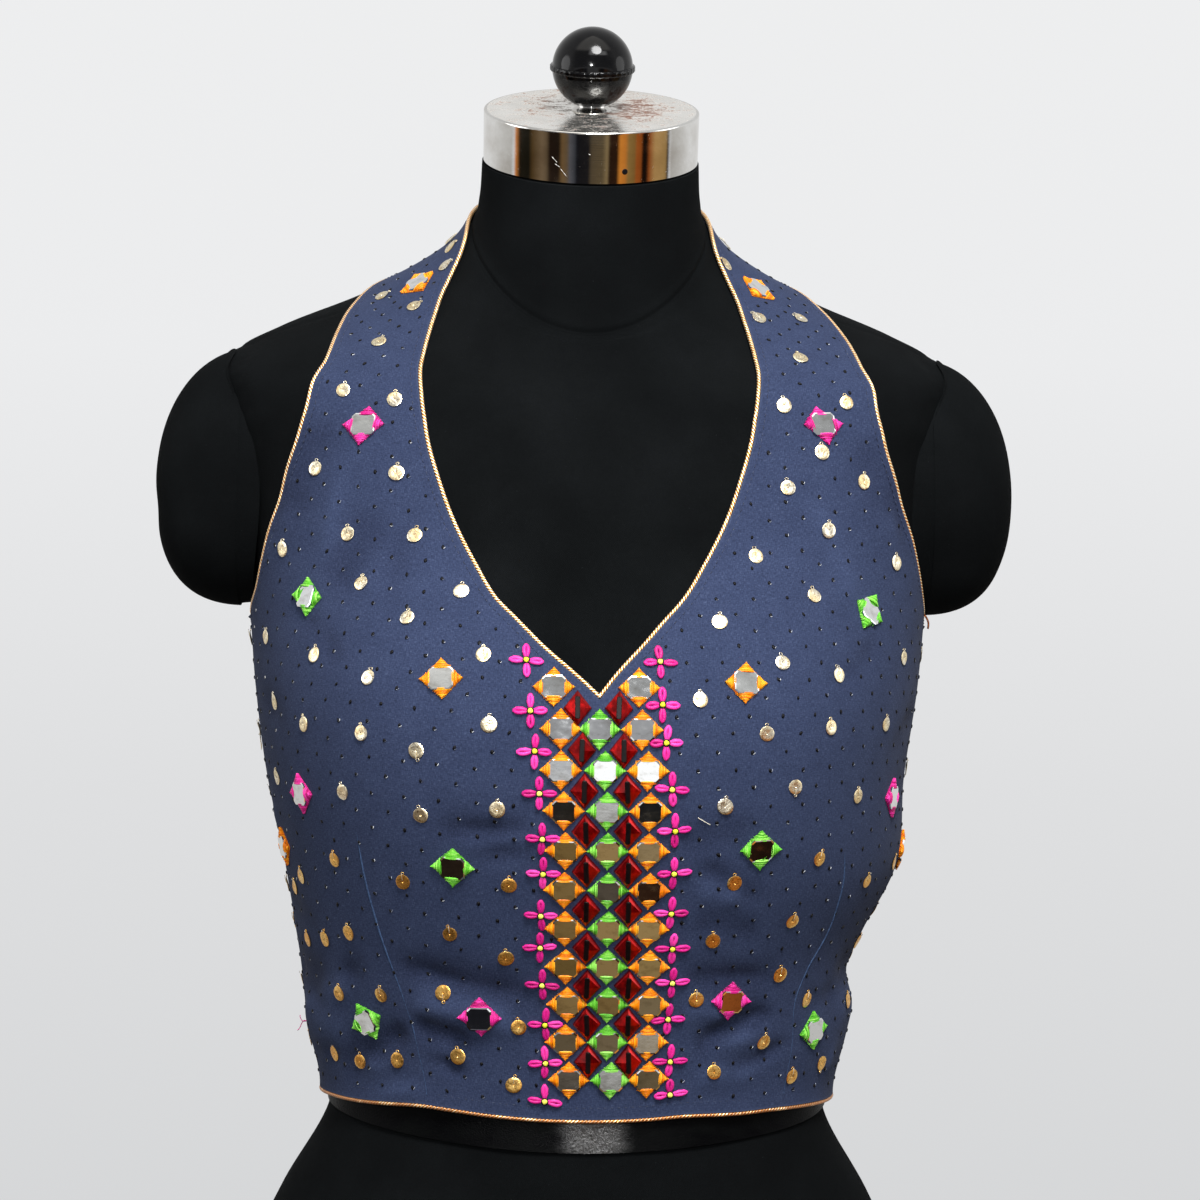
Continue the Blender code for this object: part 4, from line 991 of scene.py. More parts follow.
def jersey(name, rib, depth):
    """Black stretch knit over padding, with fine ribs across it."""
    make = Recipe(name, 0.95, Specular_IOR_Level=0.03)
    rows = make.bands(make.places(90, 90, rib), 1.2)
    stitches = make.noise(make.places(2400), 2)
    lint = make.noise(make.places(1300), 2)
    cloud = make.noise(make.places(28), 3)
    tone = make.total(make.times(rows, 0.2), make.times(stitches, 0.45), make.times(cloud, 0.35))
    knit = make.painted(tone, (0.3, 7, 8, 9), (0.55, 15, 17, 18), (0.8, 27, 29, 31))
    make.colour(make.mix(make.stretch(lint, 0.76, 0.82, 0.0, 0.35), knit, paint(96, 100, 104)))
    height = make.total(make.times(rows, 0.6), make.times(stitches, 0.4))
    return make.bump(height, 0.45, depth)


def gloss_tape():
    """Black patent tape with a fine leather grain, dull but for the rucked stretch at its front."""
    make = Recipe("gloss_tape", 0.33)
    grain = make.noise(make.places(1500), 3, 0.6)
    rub = make.noise(make.places(60, 60, 140), 3)
    rucks = make.noise(make.places(700, 700, 420), 3, 0.7, 0.4)
    polish = make.stretch(make.total(make.mark("rucked"), make.times(rub, 0.4)), 0.35, 1.2)
    make.colour(make.painted(rub, (0.35, 2, 2, 3), (0.75, 6, 7, 7)))
    make.roughness(make.stretch(rub, 0.35, 0.7, 0.28, 0.4))
    make.finish(Specular_IOR_Level=make.stretch(polish, 0.0, 1.0, 0.03, 1.0))
    height = make.total(make.times(grain, 0.25), make.times(rucks, polish))
    return make.bump(height, 0.8, 0.0011)


def chrome():
    """Chromed steel: faintly brushed and hazed, with pin scratches."""
    make = Recipe("chrome", 0.08, 1.0)
    haze = make.noise(make.places(40, 40, 60), 4, 0.6)
    brushed = make.noise(make.places(90, 90, 2600), 2)
    scratch = make.noise(make.places(700, 700, 45), 3, 0.7, 2.0)
    make.colour(make.painted(haze, (0.3, 198, 194, 188), (0.7, 232, 232, 230)))
    scratched = make.stretch(scratch, 0.66, 0.74, 0.0, 0.25)
    make.roughness(make.total(make.stretch(haze, 0.4, 0.75, 0.05, 0.14), scratched))
    return make.bump(brushed, 0.04, 0.0002)


def worn_chrome():
    """The cap's top, where the chrome has clouded and rust has come through in spots and streaks."""
    make = Recipe("worn_chrome", 0.12, 0.95)
    cloud = make.noise(make.places(60), 4, 0.65)
    rust = make.noise(make.places(150, 260, 150), 4, 0.7, 0.6)
    fleck = make.noise(make.places(700, 1100, 700), 3, 0.7)
    plate = make.painted(cloud, (0.3, 224, 221, 214), (0.65, 240, 238, 233))
    brown = make.painted(fleck, (0.3, 52, 24, 12), (0.7, 120, 72, 46))
    spread = make.total(rust, make.times(make.mark("rusty"), 0.24), make.about(fleck, 0.7))
    share = make.stretch(spread, 0.58, 0.74, 0.0, 0.95)
    make.colour(make.mix(share, plate, brown))
    make.finish(Metallic=make.stretch(share, 0.1, 0.7, 0.95, 0.1))
    make.roughness(make.stretch(spread, 0.45, 0.75, 0.12, 0.6))
    return make.bump(fleck, 0.06, 0.0002)


def scratched_chrome():
    """Bare pale metal thrown up along a scratch."""
    make = Recipe("scratched_chrome", 0.45, 0.3)
    torn = make.noise(make.places(900), 3, 0.7)
    make.colour(make.painted(torn, (0.3, 170, 165, 158), (0.7, 244, 242, 238)))
    return make.bump(torn, 0.3, 0.0002)


def gloss_black():
    """Polished black plastic with faint moulding marks."""
    make = Recipe("gloss_black", 0.1, Specular_IOR_Level=0.2, Coat_Weight=0.05, Coat_Roughness=0.03)
    marks = make.noise(make.places(220), 3)
    make.colour(make.painted(marks, (0.3, 2, 2, 3), (0.75, 8, 8, 9)))
    make.roughness(make.stretch(marks, 0.35, 0.75, 0.06, 0.18))
    return make.bump(marks, 0.03, 0.0003)


ORANGE = satin("orange_stitch", (214, 96, 0), (255, 150, 4), (255, 186, 36))
GREEN = satin("green_stitch", (58, 146, 24), (112, 204, 56), (168, 236, 108))
MAGENTA = satin("magenta_stitch", (158, 12, 90), (228, 36, 146), (252, 78, 182))
YELLOW = satin("yellow_knot", (170, 170, 16), (236, 240, 48), (255, 255, 130))
NAVY = satin("navy_thread", (16, 20, 38), (38, 46, 70), (60, 70, 98))
# pale thread used only for the painted glints beside the seed stitches
GLINT_THREAD = satin("painted_glint_thread", (60, 66, 84), (130, 136, 150), (216, 218, 220))
CREAM = satin("cream_thread", (150, 140, 118), (214, 206, 186), (250, 246, 232))
THREADS = {"orange": ORANGE, "green": GREEN, "magenta": MAGENTA}
CHAMBRAY = chambray()
PALE_SEAM = pale_seam()
PIPING = gold_piping()
GLASS = mirror_glass()
STONE = red_stone()
HEART = stone_heart()
SEQUIN = gold_sequin()
SEED = seed_thread()
JERSEY = jersey("jersey", 3600, 0.0004)
NECK_JERSEY = jersey("neck_jersey", 2600, 0.0006)
TAPE = gloss_tape()
CHROME = chrome()
WORN_CHROME = worn_chrome()
SCRATCHED = scratched_chrome()
BLACK = gloss_black()


# ---- camera and light

FRAME_WIDE = 564.0  # mm across the picture at the figure's axis
SENSOR_WIDE = 36.0
CAMERA_AWAY = 1450.0
CAMERA_Z = 460.0
CAMERA_TURN = -1.5  # degrees round the figure
CAMERA_ROLL = 0.85
PICTURE_CENTRE = 600.0  # pixels
AXIS_PIXEL = 583.5
PIXEL = 0.47  # mm


def build_camera():
    turn, roll = math.radians(CAMERA_TURN), math.radians(CAMERA_ROLL)
    forward = np.array([-math.sin(turn), math.cos(turn), 0])
    right = np.array([math.cos(turn), math.sin(turn), 0])
    place = -forward * CAMERA_AWAY + right * (PICTURE_CENTRE - AXIS_PIXEL) * PIXEL
    place[2] += CAMERA_Z
    above = np.array([0, 0, 1.0])
    up = math.cos(roll) * above - math.sin(roll) * right
    across = math.cos(roll) * right + math.sin(roll) * above
    data = bpy.data.cameras.new("camera")
    data.sensor_width = SENSOR_WIDE
    data.lens = SENSOR_WIDE * CAMERA_AWAY / FRAME_WIDE
    data.clip_start = 0.05
    camera = add_object("camera", data)
    camera.matrix_world = Matrix(
        [[across[k], up[k], -forward[k], place[k] * MM] for k in range(3)] + [[0, 0, 0, 1]]
    )
    bpy.context.scene.camera = camera
    return place * MM, right


def add_light(name, place, aim, size, power):
    data = bpy.data.lights.new(name, "AREA")
    data.shape = "DISK"
    data.size = size
    data.energy = power
    light = add_object(name, data)
    back = unit(np.array(place) - np.array(aim))
    right = unit(np.cross([0, 0, 1.0], back))
    up = np.cross(back, right)
    light.matrix_world = Matrix([[right[k], up[k], back[k], place[k]] for k in range(3)] + [[0, 0, 0, 1]])
    return light


def build_light(place, right):
    """A flash beside the camera, a soft light over it, and gentle fill from the sides and behind."""
    aim = (0, -0.05, 0.5)
    flash = place + right * -0.07 + np.array([0, 0, 0.17])
    add_light("flash", flash, (0, -0.08, 0.46), 0.09, 1.3).data.spread = math.radians(60)
    add_light("overhead", (0.2, -1.05, 1.58), aim, 0.6, 32.0)
    add_light("side_left", (-1.7, -0.2, 0.9), aim, 1.0, 6.5)
    add_light("side_right", (1.7, -0.2, 0.9), aim, 1.0, 4.5)
    add_light("behind", (0.3, 1.9, 1.0), aim, 1.2, 42.0).visible_glossy = False


ROOM_SHELVES = (  # what stands low behind the camera: (degrees round from straight behind it, colour)
    (-96, (226, 228, 232)), (-93, (205, 130, 66)), (-88, (30, 26, 18)), (-76, (26, 24, 18)),
    (-72, (76, 58, 33)), (-60, (112, 94, 72)), (-55, (98, 82, 62)),
    (-51, (34, 24, 18)), (-40, (32, 24, 18)), (-36, (108, 84, 54)), (-30, (96, 80, 60)),
    (-27, (84, 84, 90)), (-21, (58, 60, 66)), (-18, (20, 20, 26)), (-4, (24, 24, 30)),
    (0, (112, 96, 72)), (19, (138, 118, 84)), (22, (42, 26, 17)),
    (31, (44, 27, 17)), (35, (204, 128, 50)), (41, (190, 118, 48)), (45, (138, 108, 60)),
    (52, (128, 96, 50)), (55, (152, 80, 32)), (60, (140, 74, 30)), (62, (22, 15, 11)), (67, (22, 15, 11)),
    (70, (138, 72, 30)), (77, (170, 134, 84)),
    (91, (160, 128, 80)), (94, (18, 14, 10)), (97, (222, 222, 226)),
)
SHELF_LIGHT = 1.2  # how much brighter the shelves are than their colours


def build_world():
    """A pale room: white round the sides, and dim brown shapes behind the camera for the mirrors to show."""
    world = bpy.data.worlds.new("room")
    world.use_nodes = True
    bpy.context.scene.world = world
    make = Nodes(world.node_tree)
    direction = make.node("TexCoord").outputs["Generated"]
    parts = make.node("SeparateXYZ")
    x, y, z = make.fed(parts, 0, Vector=direction), parts.outputs["Y"], parts.outputs["Z"]
    height = make.stretch(z, -1, 1, 0, 1, "LINEAR")
    room = make.ramp(height, (
        (0.0, (0.42, 0.41, 0.39)), (0.4, (0.55, 0.54, 0.52)), (0.52, (0.8, 0.8, 0.8)),
        (0.75, (0.72, 0.72, 0.72)), (1.0, (0.62, 0.62, 0.62)),
    ))
    behind_camera = make.ramp(height, (
        (0.05, (0.16, 0.11, 0.035)), (0.13, (0.25, 0.15, 0.035)), (0.165, (0.36, 0.22, 0.07)),
        (0.18, (0.19, 0.15, 0.10)), (0.2, (0.10, 0.075, 0.05)), (0.215, (0.012, 0.011, 0.01)),
        (0.265, (0.012, 0.012, 0.012)), (0.28, (0.16, 0.13, 0.10)), (0.31, (0.20, 0.19, 0.17)),
        (0.335, (1.15, 1.15, 1.15)), (0.41, (1.15, 1.15, 1.15)), (0.44, (0.37, 0.37, 0.38)),
        (0.6, (0.34, 0.34, 0.35)), (0.79, (0.36, 0.36, 0.35)), (0.84, (2.0, 1.95, 1.85)),
    ))
    round_about = make.math("ARCTAN2", x, make.times(y, -1))
    shelves = make.ramp(make.stretch(round_about, -math.pi, math.pi, 0, 1, "LINEAR"), [
        (turned / 360 + 0.5, [SHELF_LIGHT * light for light in paint(*colour)])
        for turned, colour in ROOM_SHELVES
    ])
    turned = make.math("ABSOLUTE", round_about)
    beside = make.stretch(turned, 0.21, 0.36)
    low = make.times(make.stretch(turned, 1.74, 1.72), make.stretch(z, -0.17, -0.21))
    level_way = make.node("VectorMath", operation="MULTIPLY")
    make.feed(level_way.inputs[0], direction)
    make.feed(level_way.inputs[1], (1, 1, 0))
    way = make.node("VectorMath", operation="NORMALIZE")
    make.feed(way.inputs[0], level_way.outputs["Vector"])
    toward = make.fed(make.node("SeparateXYZ"), "Y", Vector=way.outputs["Vector"])
    seen_in_gloss = make.mix(make.stretch(toward, -0.35, -0.66), room, behind_camera)
    below = make.mix(make.stretch(z, -0.5, -0.56, 0.0, 0.5), behind_camera, shelves)
    seen_in_gloss = make.mix(low, seen_in_gloss, make.mix(beside, below, shelves))
    window = make.stretch(round_about, -0.3, -0.1)
    for value, outside, within_it in ((round_about, 0.85, 0.6), (z, 0.42, 0.46), (z, 0.62, 0.58)):
        window = make.times(window, make.stretch(value, outside, within_it))
    seen_in_gloss = make.mix(window, seen_in_gloss, (4.5, 4.5, 4.5, 1))
    backdrop = make.ramp(height, (
        (0.35, (0.62, 0.63, 0.64)), (0.47, (0.735, 0.74, 0.75)), (0.54, (0.835, 0.84, 0.85)),
        (0.7, (0.88, 0.885, 0.885)),
    ))
    ray = make.node("LightPath").outputs
    shown = make.mix(ray["Is Camera Ray"], seen_in_gloss, backdrop)
    dim = make.stretch(ray["Is Diffuse Ray"], 0, 1, 1.0, 0.07)
    make.fed(world.node_tree.nodes["Background"], 0, Color=shown, Strength=dim)


def build_floor():
    """A round pale floor that fades into the backdrop."""
    bm = bmesh.new()
    bmesh.ops.create_circle(bm, cap_ends=True, segments=96, radius=0.95)
    bmesh.ops.translate(bm, vec=(0, 0, -0.0005), verts=bm.verts)
    mesh = to_mesh(bm)
    make = Recipe("floor_paper", 0.9)
    away = make.node("VectorMath", operation="LENGTH")
    make.feed(away.inputs[0], make.places(1, 1, 0))
    grain = make.noise(make.places(300), 2)
    make.colour(make.painted(grain, (0.3, 226, 226, 226), (0.7, 236, 236, 236)))
    make.feed(make.shader.inputs["Alpha"], make.stretch(away.outputs["Value"], 0.9, 0.35))
    mesh.materials.append(make.material)
    floor = add_object("floor", mesh)
    floor.visible_glossy = False
    floor.visible_diffuse = False


# ---- the blouse's cloth

FRONT_COLUMNS = 150
FRONT_ROWS = 250
BACK_COLUMNS = 64
BACK_ROWS = 76
BACK_CROWD = 1.3  # crowds the columns of a back half towards the lap
BACK_WIDE = 160  # mm across a back half


def thread_marks(mesh, turn, level):
    across = read_grid(ACROSS_GRID, turn, level)
    up = read_grid(UP_GRID, turn, level)
    set_marks(mesh, "thread", np.stack([across, up, np.zeros(len(turn))], -1) * MM)


def sheet_size(piece):
    """Half the closed wall's area, which is the cloth's own, in square metres."""
    return sum(face.area for face in piece.data.polygons) / 2


def build_front():
    """The front and its two halter straps, one piece of cloth, slit above the point of the V."""
    bm = grid(FRONT_COLUMNS, FRONT_ROWS)
    for vert in bm.verts:
        vert.co = (2 * vert.co.x - 1, vert.co.y * STRAP_ROW, 0)
    slit = [
        edge for edge in bm.edges
        if all(abs(v.co.x) < 1e-5 and v.co.y > V_ROW - 1e-4 for v in edge.verts)
    ]
    bmesh.ops.split_edges(bm, edges=slit)
    for vert in bm.verts:
        middle = sum(face.calc_center_median().x for face in vert.link_faces)
        vert.co.z = 1 if middle > 0 else -1
    mesh = to_mesh(bm)
    share, row, side = points_of(mesh).T
    share = np.abs(share)
    turn, level, width = np.empty((3, len(row)))
    for hand in (-1, 1):
        own = side == hand
        turn[own], level[own] = front_place(hand, row[own], share[own]).T
        inner = cloth(*inner_edge(hand, row[own]).T, 0, STRAP_END)
        outer = cloth(*outer_edge(hand, row[own]).T, 0, STRAP_END)
        width[own] = np.linalg.norm(outer - inner, axis=1)
    set_points(mesh, cloth(turn, level, WALL, STRAP_END))
    thread_marks(mesh, turn, level)
    set_marks(mesh, "lift", folds(turn, cloth(turn, level, WALL)[:, 2]))
    edge = read_grid(UP_GRID, turn, level) - read_grid(UP_GRID, turn, np.full(len(turn), HEM_LEVEL))
    edge = np.minimum(edge, np.where(row > V_ROW, share * width, 99))
    edge = np.minimum(edge, np.where(row > UNDERARM_ROW, (1 - share) * width, 99))
    set_marks(mesh, "edge", edge)
    return thicken(add_piece(mesh, "front_cloth", CHAMBRAY, ["front"]), WALL)


def build_back(side, name):
    """One half of the back, from its side seam to the lap down the centre."""
    mesh = to_mesh(grid(BACK_COLUMNS, BACK_ROWS))
    x, rise, _ = points_of(mesh).T
    share = 1 - (1 - (x if side > 0 else 1 - x)) ** BACK_CROWD
    turn, level = back_place(side, rise, share).T
    set_points(mesh, cloth(turn, level, WALL))
    thread_marks(mesh, turn, level)
    set_marks(mesh, "lift", folds(turn, cloth(turn, level, WALL)[:, 2]))
    top = back_place(side, np.ones(len(share)), share)[:, 1]
    height = read_grid(UP_GRID, turn, level)
    edge = np.minimum(
        height - read_grid(UP_GRID, turn, np.full(len(turn), HEM_LEVEL)),
        read_grid(UP_GRID, turn, top) - height,
    )
    set_marks(mesh, "edge", np.minimum(edge, (1 - share) * BACK_WIDE))
    return thicken(add_piece(mesh, name + "_cloth", CHAMBRAY, [name]), WALL)


# ---- edges, seams and stitches

SIDES = ((-1, "left"), (1, "right"))
ROW_STEP = 0.05
CORD_TWIST = 1.7  # mm of cord from one aslant thread to the next
CORD_RADIUS = 0.94
CORD_PLAIN, CORD_LOBE = 0.97, 0.07  # the cord's thickness under a thread and the thread's rise, as shares
CORD_INSET = 0.92  # how far out the cord lies, as a share of the piping's radius
CORNER_REACH = 1.45  # how far the cord is drawn out at the point of the V, as a share of that
CORNER_KEEP = 1.5


def edge_line(places, hand, end, away, height, corner=None):
    """A line beside an edge given as (turn, level) places, and the cloth's outward direction along it.

    hand is 1 where the line lies to the left of the way along the edge, seen from outside.
    """
    line = cloth(*places.T, height, end)
    out = figure_normal(*places.T, True)
    along = unit(np.gradient(line, axis=0))
    moved = line + hand * unit(np.cross(out, along)) * away
    if corner is None:
        return moved, out
    run = np.concatenate([[0], np.cumsum(np.linalg.norm(np.diff(line, axis=0), axis=1))])
    moved[corner] = line[corner] + (moved[corner] - line[corner]) * CORNER_REACH
    keep = (np.abs(run - run[corner]) > CORNER_KEEP) | (np.arange(len(run)) == corner)
    return moved[keep], out[keep]


def neckline_places():
    above = np.arange(V_ROW + ROW_STEP, STRAP_ROW + 0.001, ROW_STEP)
    left = inner_edge(-1, above[::-1])
    point = inner_edge(1, np.array([float(V_ROW)]))
    return np.vstack([left, point, inner_edge(1, above)]), len(above)


def armhole_places(side):
    return outer_edge(side, np.arange(UNDERARM_ROW, STRAP_ROW + 0.001, ROW_STEP))


def hem_places():
    shares = np.linspace(1, -1, 321)
    left = front_place(-1, np.zeros(160), shares[:160])
    return np.vstack([left, front_place(1, np.zeros(161), -shares[160:])])


def back_edge_places(side, rise):
    share = 1 - (1 - np.linspace(0, 1, 200)) ** BACK_CROWD
    return back_place(side, np.full(200, float(rise)), share)


def cord_radius(round_share, along):
    lobes = np.cos(2 * math.pi * (3 * round_share - along / CORD_TWIST))
    return CORD_RADIUS * (CORD_PLAIN + CORD_LOBE * lobes)


def add_piping(name, places, hand, end, corner=None):
    line, out = edge_line(places, hand, end, PIPE_RADIUS * CORD_INSET, WALL / 2, corner)
    mesh = tube(line, out, cord_radius, 9, 0.36)
    run = np.zeros(len(mesh.vertices) * 3)
    mesh.attributes["run"].data.foreach_get("vector", run)
    round_share, along, _ = run.reshape(-1, 3).T
    ridge = cord_radius(round_share, along / MM) / CORD_RADIUS - CORD_PLAIN + CORD_LOBE
    set_marks(mesh, "ridge", ridge / (2 * CORD_LOBE))
    # marks the hem's piping for painted shade, which makes its gold darker and browner
    set_marks(mesh, "tarnish_and_painted_shade", np.full(len(ridge), float("hem" in name)))
    return add_piece(mesh, name + "_cord", PIPING, [name])


def build_pipings():
    places, corner = neckline_places()
    made = [
        add_piping("piping_neckline", places, 1, STRAP_END, corner),
        add_piping("piping_hem_front", hem_places(), -1, BACK_END),
    ]
    for side, name in SIDES:
        made += [
            add_piping("piping_armhole_" + name, armhole_places(side), -side, STRAP_END),
            add_piping("piping_back_" + name, back_edge_places(side, 1), side, BACK_END),
            add_piping("piping_hem_back_" + name, back_edge_places(side, 0), -side, BACK_END),
        ]
    return made


def stitch_run(name, lines, finish, length, pitch, radius):
    """Running stitches along lines: each is a short thread that dips at both ends."""
    starts, ends, outs = [], [], []
    for line, out in lines:
        at, line, out = evenly(line, 0.25, out)
        first = np.arange(pitch / 2, at[-1] - length, pitch)
        i = np.searchsorted(at, first)
        j = np.minimum(np.searchsorted(at, first + length), len(at) - 1)
        starts.append(line[i])
        ends.append(line[j])
        outs.append(unit(out[i]))
    starts, ends, outs = np.vstack(starts), np.vstack(ends), np.vstack(outs)
    mesh, single = repeat(rolled(5, 4), len(starts))
    angle, share = rolled_angles(single)
    forward = unit(ends - starts)
    sideways = unit(np.cross(forward, outs))
    taper = radius * (0.35 + 0.65 * np.sin(math.pi * share) ** 0.5)
    rise = 0.9 * radius * np.sin(math.pi * share) - 0.25 * radius + taper * np.sin(angle)
    points = (
        starts[:, None] + (ends - starts)[:, None] * share[None, :, None]
        + sideways[:, None] * (taper * np.cos(angle))[None, :, None]
        + outs[:, None] * rise[None, :, None]
    )
    set_points(mesh, points)
    random_tones(mesh, 0.2, 0.8, len(starts))
    return add_piece(face_outward(mesh), name, finish)


def build_topstitching():
    """Rows of fine stitches just inside the piping."""
    above = np.arange(V_ROW + 2.0, STRAP_ROW - 0.5, ROW_STEP)
    lines = []
    for side, _ in SIDES:
        lines += [
            edge_line(inner_edge(side, above), -side, STRAP_END, TOPSTITCH_INSET, WALL),
            edge_line(armhole_places(side)[20:-10], side, STRAP_END, TOPSTITCH_INSET, WALL),
            edge_line(back_edge_places(side, 1)[4:-4], -side, BACK_END, TOPSTITCH_INSET, WALL),
            edge_line(back_edge_places(side, 0)[4:-4], side, BACK_END, TOPSTITCH_INSET + 2, WALL),
        ]
    lines.append(edge_line(hem_places(), 1, BACK_END, TOPSTITCH_INSET + 2, WALL))
    return stitch_run(
        "topstitching", lines, NAVY, TOPSTITCH_LENGTH, TOPSTITCH_PITCH, 0.2
    )


def dart_ridge(share, along):
    return 0.3 + 0.36 * np.clip(along / 14, 0, 1) * (1 - 0.85 * ease((along - 45) / 40))


def seam_ridge(share, along):
    return 0.55 + 0.05 * np.sin(along * 1.9)


def build_darts():
    """Each dart's seam: a low worn ridge from under the bust to the hem."""
    made = []
    for dart in DARTS:
        z = np.linspace(dart.places[0][1], dart.places[-1][1], 160)
        turn = smooth([-p[1] for p in dart.places], [p[0] for p in dart.places], -z)
        level = level_at(turn, z)
        line = cloth(turn, level, WALL - 0.3)
        mesh = tube(line, figure_normal(turn, level, True), dart_ridge, 8, 0.8)
        made.append(add_piece(mesh, "dart_" + dart.name, PALE_SEAM))
    for side, name in SIDES:
        places = outer_edge(side, np.linspace(0, UNDERARM_ROW, 200)).T
        line = cloth(*places, WALL - 0.35)
        mesh = tube(line, figure_normal(*places, True), seam_ridge, 8, 0.8)
        made.append(add_piece(mesh, "side_seam_" + name, PALE_SEAM))
    return made


# ---- mirror work


def looped(sides, steps):
    """A ring of tube: a sheet closed both ways."""
    bm = grid(steps, sides)
    for vert in bm.verts:
        along, around = 2 * math.pi * vert.co.x, 2 * math.pi * vert.co.y
        reach = 3 + math.cos(around)
        vert.co = (reach * math.cos(along), reach * math.sin(along), math.sin(around))
    bmesh.ops.remove_doubles(bm, verts=bm.verts, dist=1e-4)
    bmesh.ops.recalc_face_normals(bm, faces=bm.faces)
    return bm


def looped_places(points):
    """(angle along the ring, angle round its tube) of a looped sheet's points."""
    along = np.arctan2(points[:, 1], points[:, 0])
    return along, np.arctan2(points[:, 2], np.hypot(points[:, 0], points[:, 1]) - 3)


def plate(corners, steps):
    """A solid on a flat outline of (x, y) corners, raised in steps of (share across, share up, height)."""
    bm = bmesh.new()
    face = bm.faces.new([bm.verts.new((x, y, 0)) for x, y in corners])
    outline = sorted((vert.co.copy() for vert in face.verts), key=lambda p: math.atan2(p.y, p.x))
    for wide, tall, height in steps:
        made = bmesh.ops.extrude_face_region(bm, geom=[face])["geom"]
        face = next(g for g in made if isinstance(g, bmesh.types.BMFace))
        verts = sorted(face.verts, key=lambda v: math.atan2(v.co.y, v.co.x))
        for vert, point in zip(verts, outline):
            vert.co = (point.x * wide, point.y * tall, height)
    return bm


def rhomb(wide, tall):
    return [(wide / 2, 0), (0, tall / 2), (-wide / 2, 0), (0, -tall / 2)]


def clipped(x, y, clip):
    """Corners of a rectangle of half sides x and y, with its corners cut off."""
    return [
        (x, -y + clip), (x, y - clip), (x - clip, y), (-x + clip, y),
        (-x, y - clip), (-x, -y + clip), (-x + clip, -y), (x - clip, -y),
    ]


def satin_lays():
    """Ends of the lays of thread round one mirror, in mm from its centre, with each one's rise."""
    half_wide, half_tall = DIAMOND_WIDE / 2, DIAMOND_TALL / 2
    lays = []
    for reach, limit, other, flip in (
        (MIRROR_TALL / 2 - 0.5, half_tall, half_wide, False),
        (MIRROR_WIDE / 2 - 0.4, half_wide, half_tall, True),
    ):
        for sign in (1, -1):
            for place in np.arange(reach, limit - 0.2, SATIN_PITCH):
                half = other * (1 - place / limit)
                share = (place - reach) / (limit - reach)
                rise = SATIN_TOP - SATIN_FALL * share
                ends = ((-half, sign * place), (half, sign * place))
                if flip:
                    ends = tuple((b, a) for a, b in ends)
                lays.append((*ends[0], *ends[1], rise))
    return np.array(lays)


def spun(x, y, degrees):
    turn = np.radians(degrees)
    return x * np.cos(turn) - y * np.sin(turn), x * np.sin(turn) + y * np.cos(turn)


PAD_SHARE = 0.96  # the padding's size, as a share of the diamond's


def satin_mesh(turn, level, spin, size=1.0):
    """Satin stitch and its padding round mirrors centred at (turn, level), as one mesh."""
    turn, level, spin = (np.atleast_1d(np.asarray(v, float)) for v in (turn, level, spin))
    lays = satin_lays()
    count = len(turn) * len(lays)
    mesh, single = repeat(rolled(6, 5), count)
    angle, share = rolled_angles(single)
    x0, y0, x1, y1, rise = np.tile(lays, (len(turn), 1)).T
    ragged = 1 + chance.normal(0, 0.06, (2, count))
    middle_x, middle_y = (x0 + x1) / 2, (y0 + y1) / 2
    x0, y0 = middle_x + (x0 - middle_x) * ragged[0], middle_y + (y0 - middle_y) * ragged[0]
    x1, y1 = middle_x + (x1 - middle_x) * ragged[1], middle_y + (y1 - middle_y) * ragged[1]
    length = np.maximum(np.hypot(x1 - x0, y1 - y0), 0.3)
    ux, uy = (x1 - x0) / length, (y1 - y0) / length
    thick = SATIN_THREAD * chance.uniform(0.88, 1.12, count)
    arch = 1 - np.abs(2 * share - 1) ** 2.4
    taper = 0.55 + 0.45 * arch
    wide = (thick[:, None] * taper) * np.cos(angle)
    drift = chance.normal(0, 0.05, count)[:, None] * arch
    x = x0[:, None] + (x1 - x0)[:, None] * share - uy[:, None] * (wide + drift)
    y = y0[:, None] + (y1 - y0)[:, None] * share + ux[:, None] * (wide + drift)
    height = 0.3 + (rise[:, None] - 0.3) * arch + (thick[:, None] * taper) * np.sin(angle)
    home = np.repeat(np.arange(len(turn)), len(lays))
    x, y = spun(x * size, y * size, spin[home][:, None])
    set_points(mesh, on_cloth(turn[home][:, None], level[home][:, None], x, y, height))
    random_tones(mesh, 0.05, 0.95, count)
    stitches = face_outward(mesh)

    bm = plate(rhomb(1, 1), ((0.97, 0.97, 0.35), (0.86, 0.86, 0.8), (0.58, 0.58, 1.3)))
    bmesh.ops.subdivide_edges(bm, edges=bm.edges[:], cuts=2, use_grid_fill=True)
    pads, single = repeat(bm, len(turn))
    x, y, height = single.T
    x, y = spun(x * DIAMOND_WIDE * PAD_SHARE * size, y * DIAMOND_TALL * PAD_SHARE * size, spin[:, None])
    set_points(pads, on_cloth(turn[:, None], level[:, None], x, y, height))
    set_marks(pads, "tone", np.full(len(pads.vertices), 0.15))
    return joined(stitches, face_outward(pads))


def joined(*meshes):
    """The meshes as one, with their tones kept."""
    tones = []
    bm = bmesh.new()
    for mesh in meshes:
        values = np.zeros(len(mesh.vertices))
        mesh.attributes["tone"].data.foreach_get("value", values)
        tones.append(values)
        mesh.attributes.remove(mesh.attributes["tone"])
        bm.from_mesh(mesh)
        bpy.data.meshes.remove(mesh)
    made = to_mesh(bm)
    set_marks(made, "tone", np.concatenate(tones))
    return made


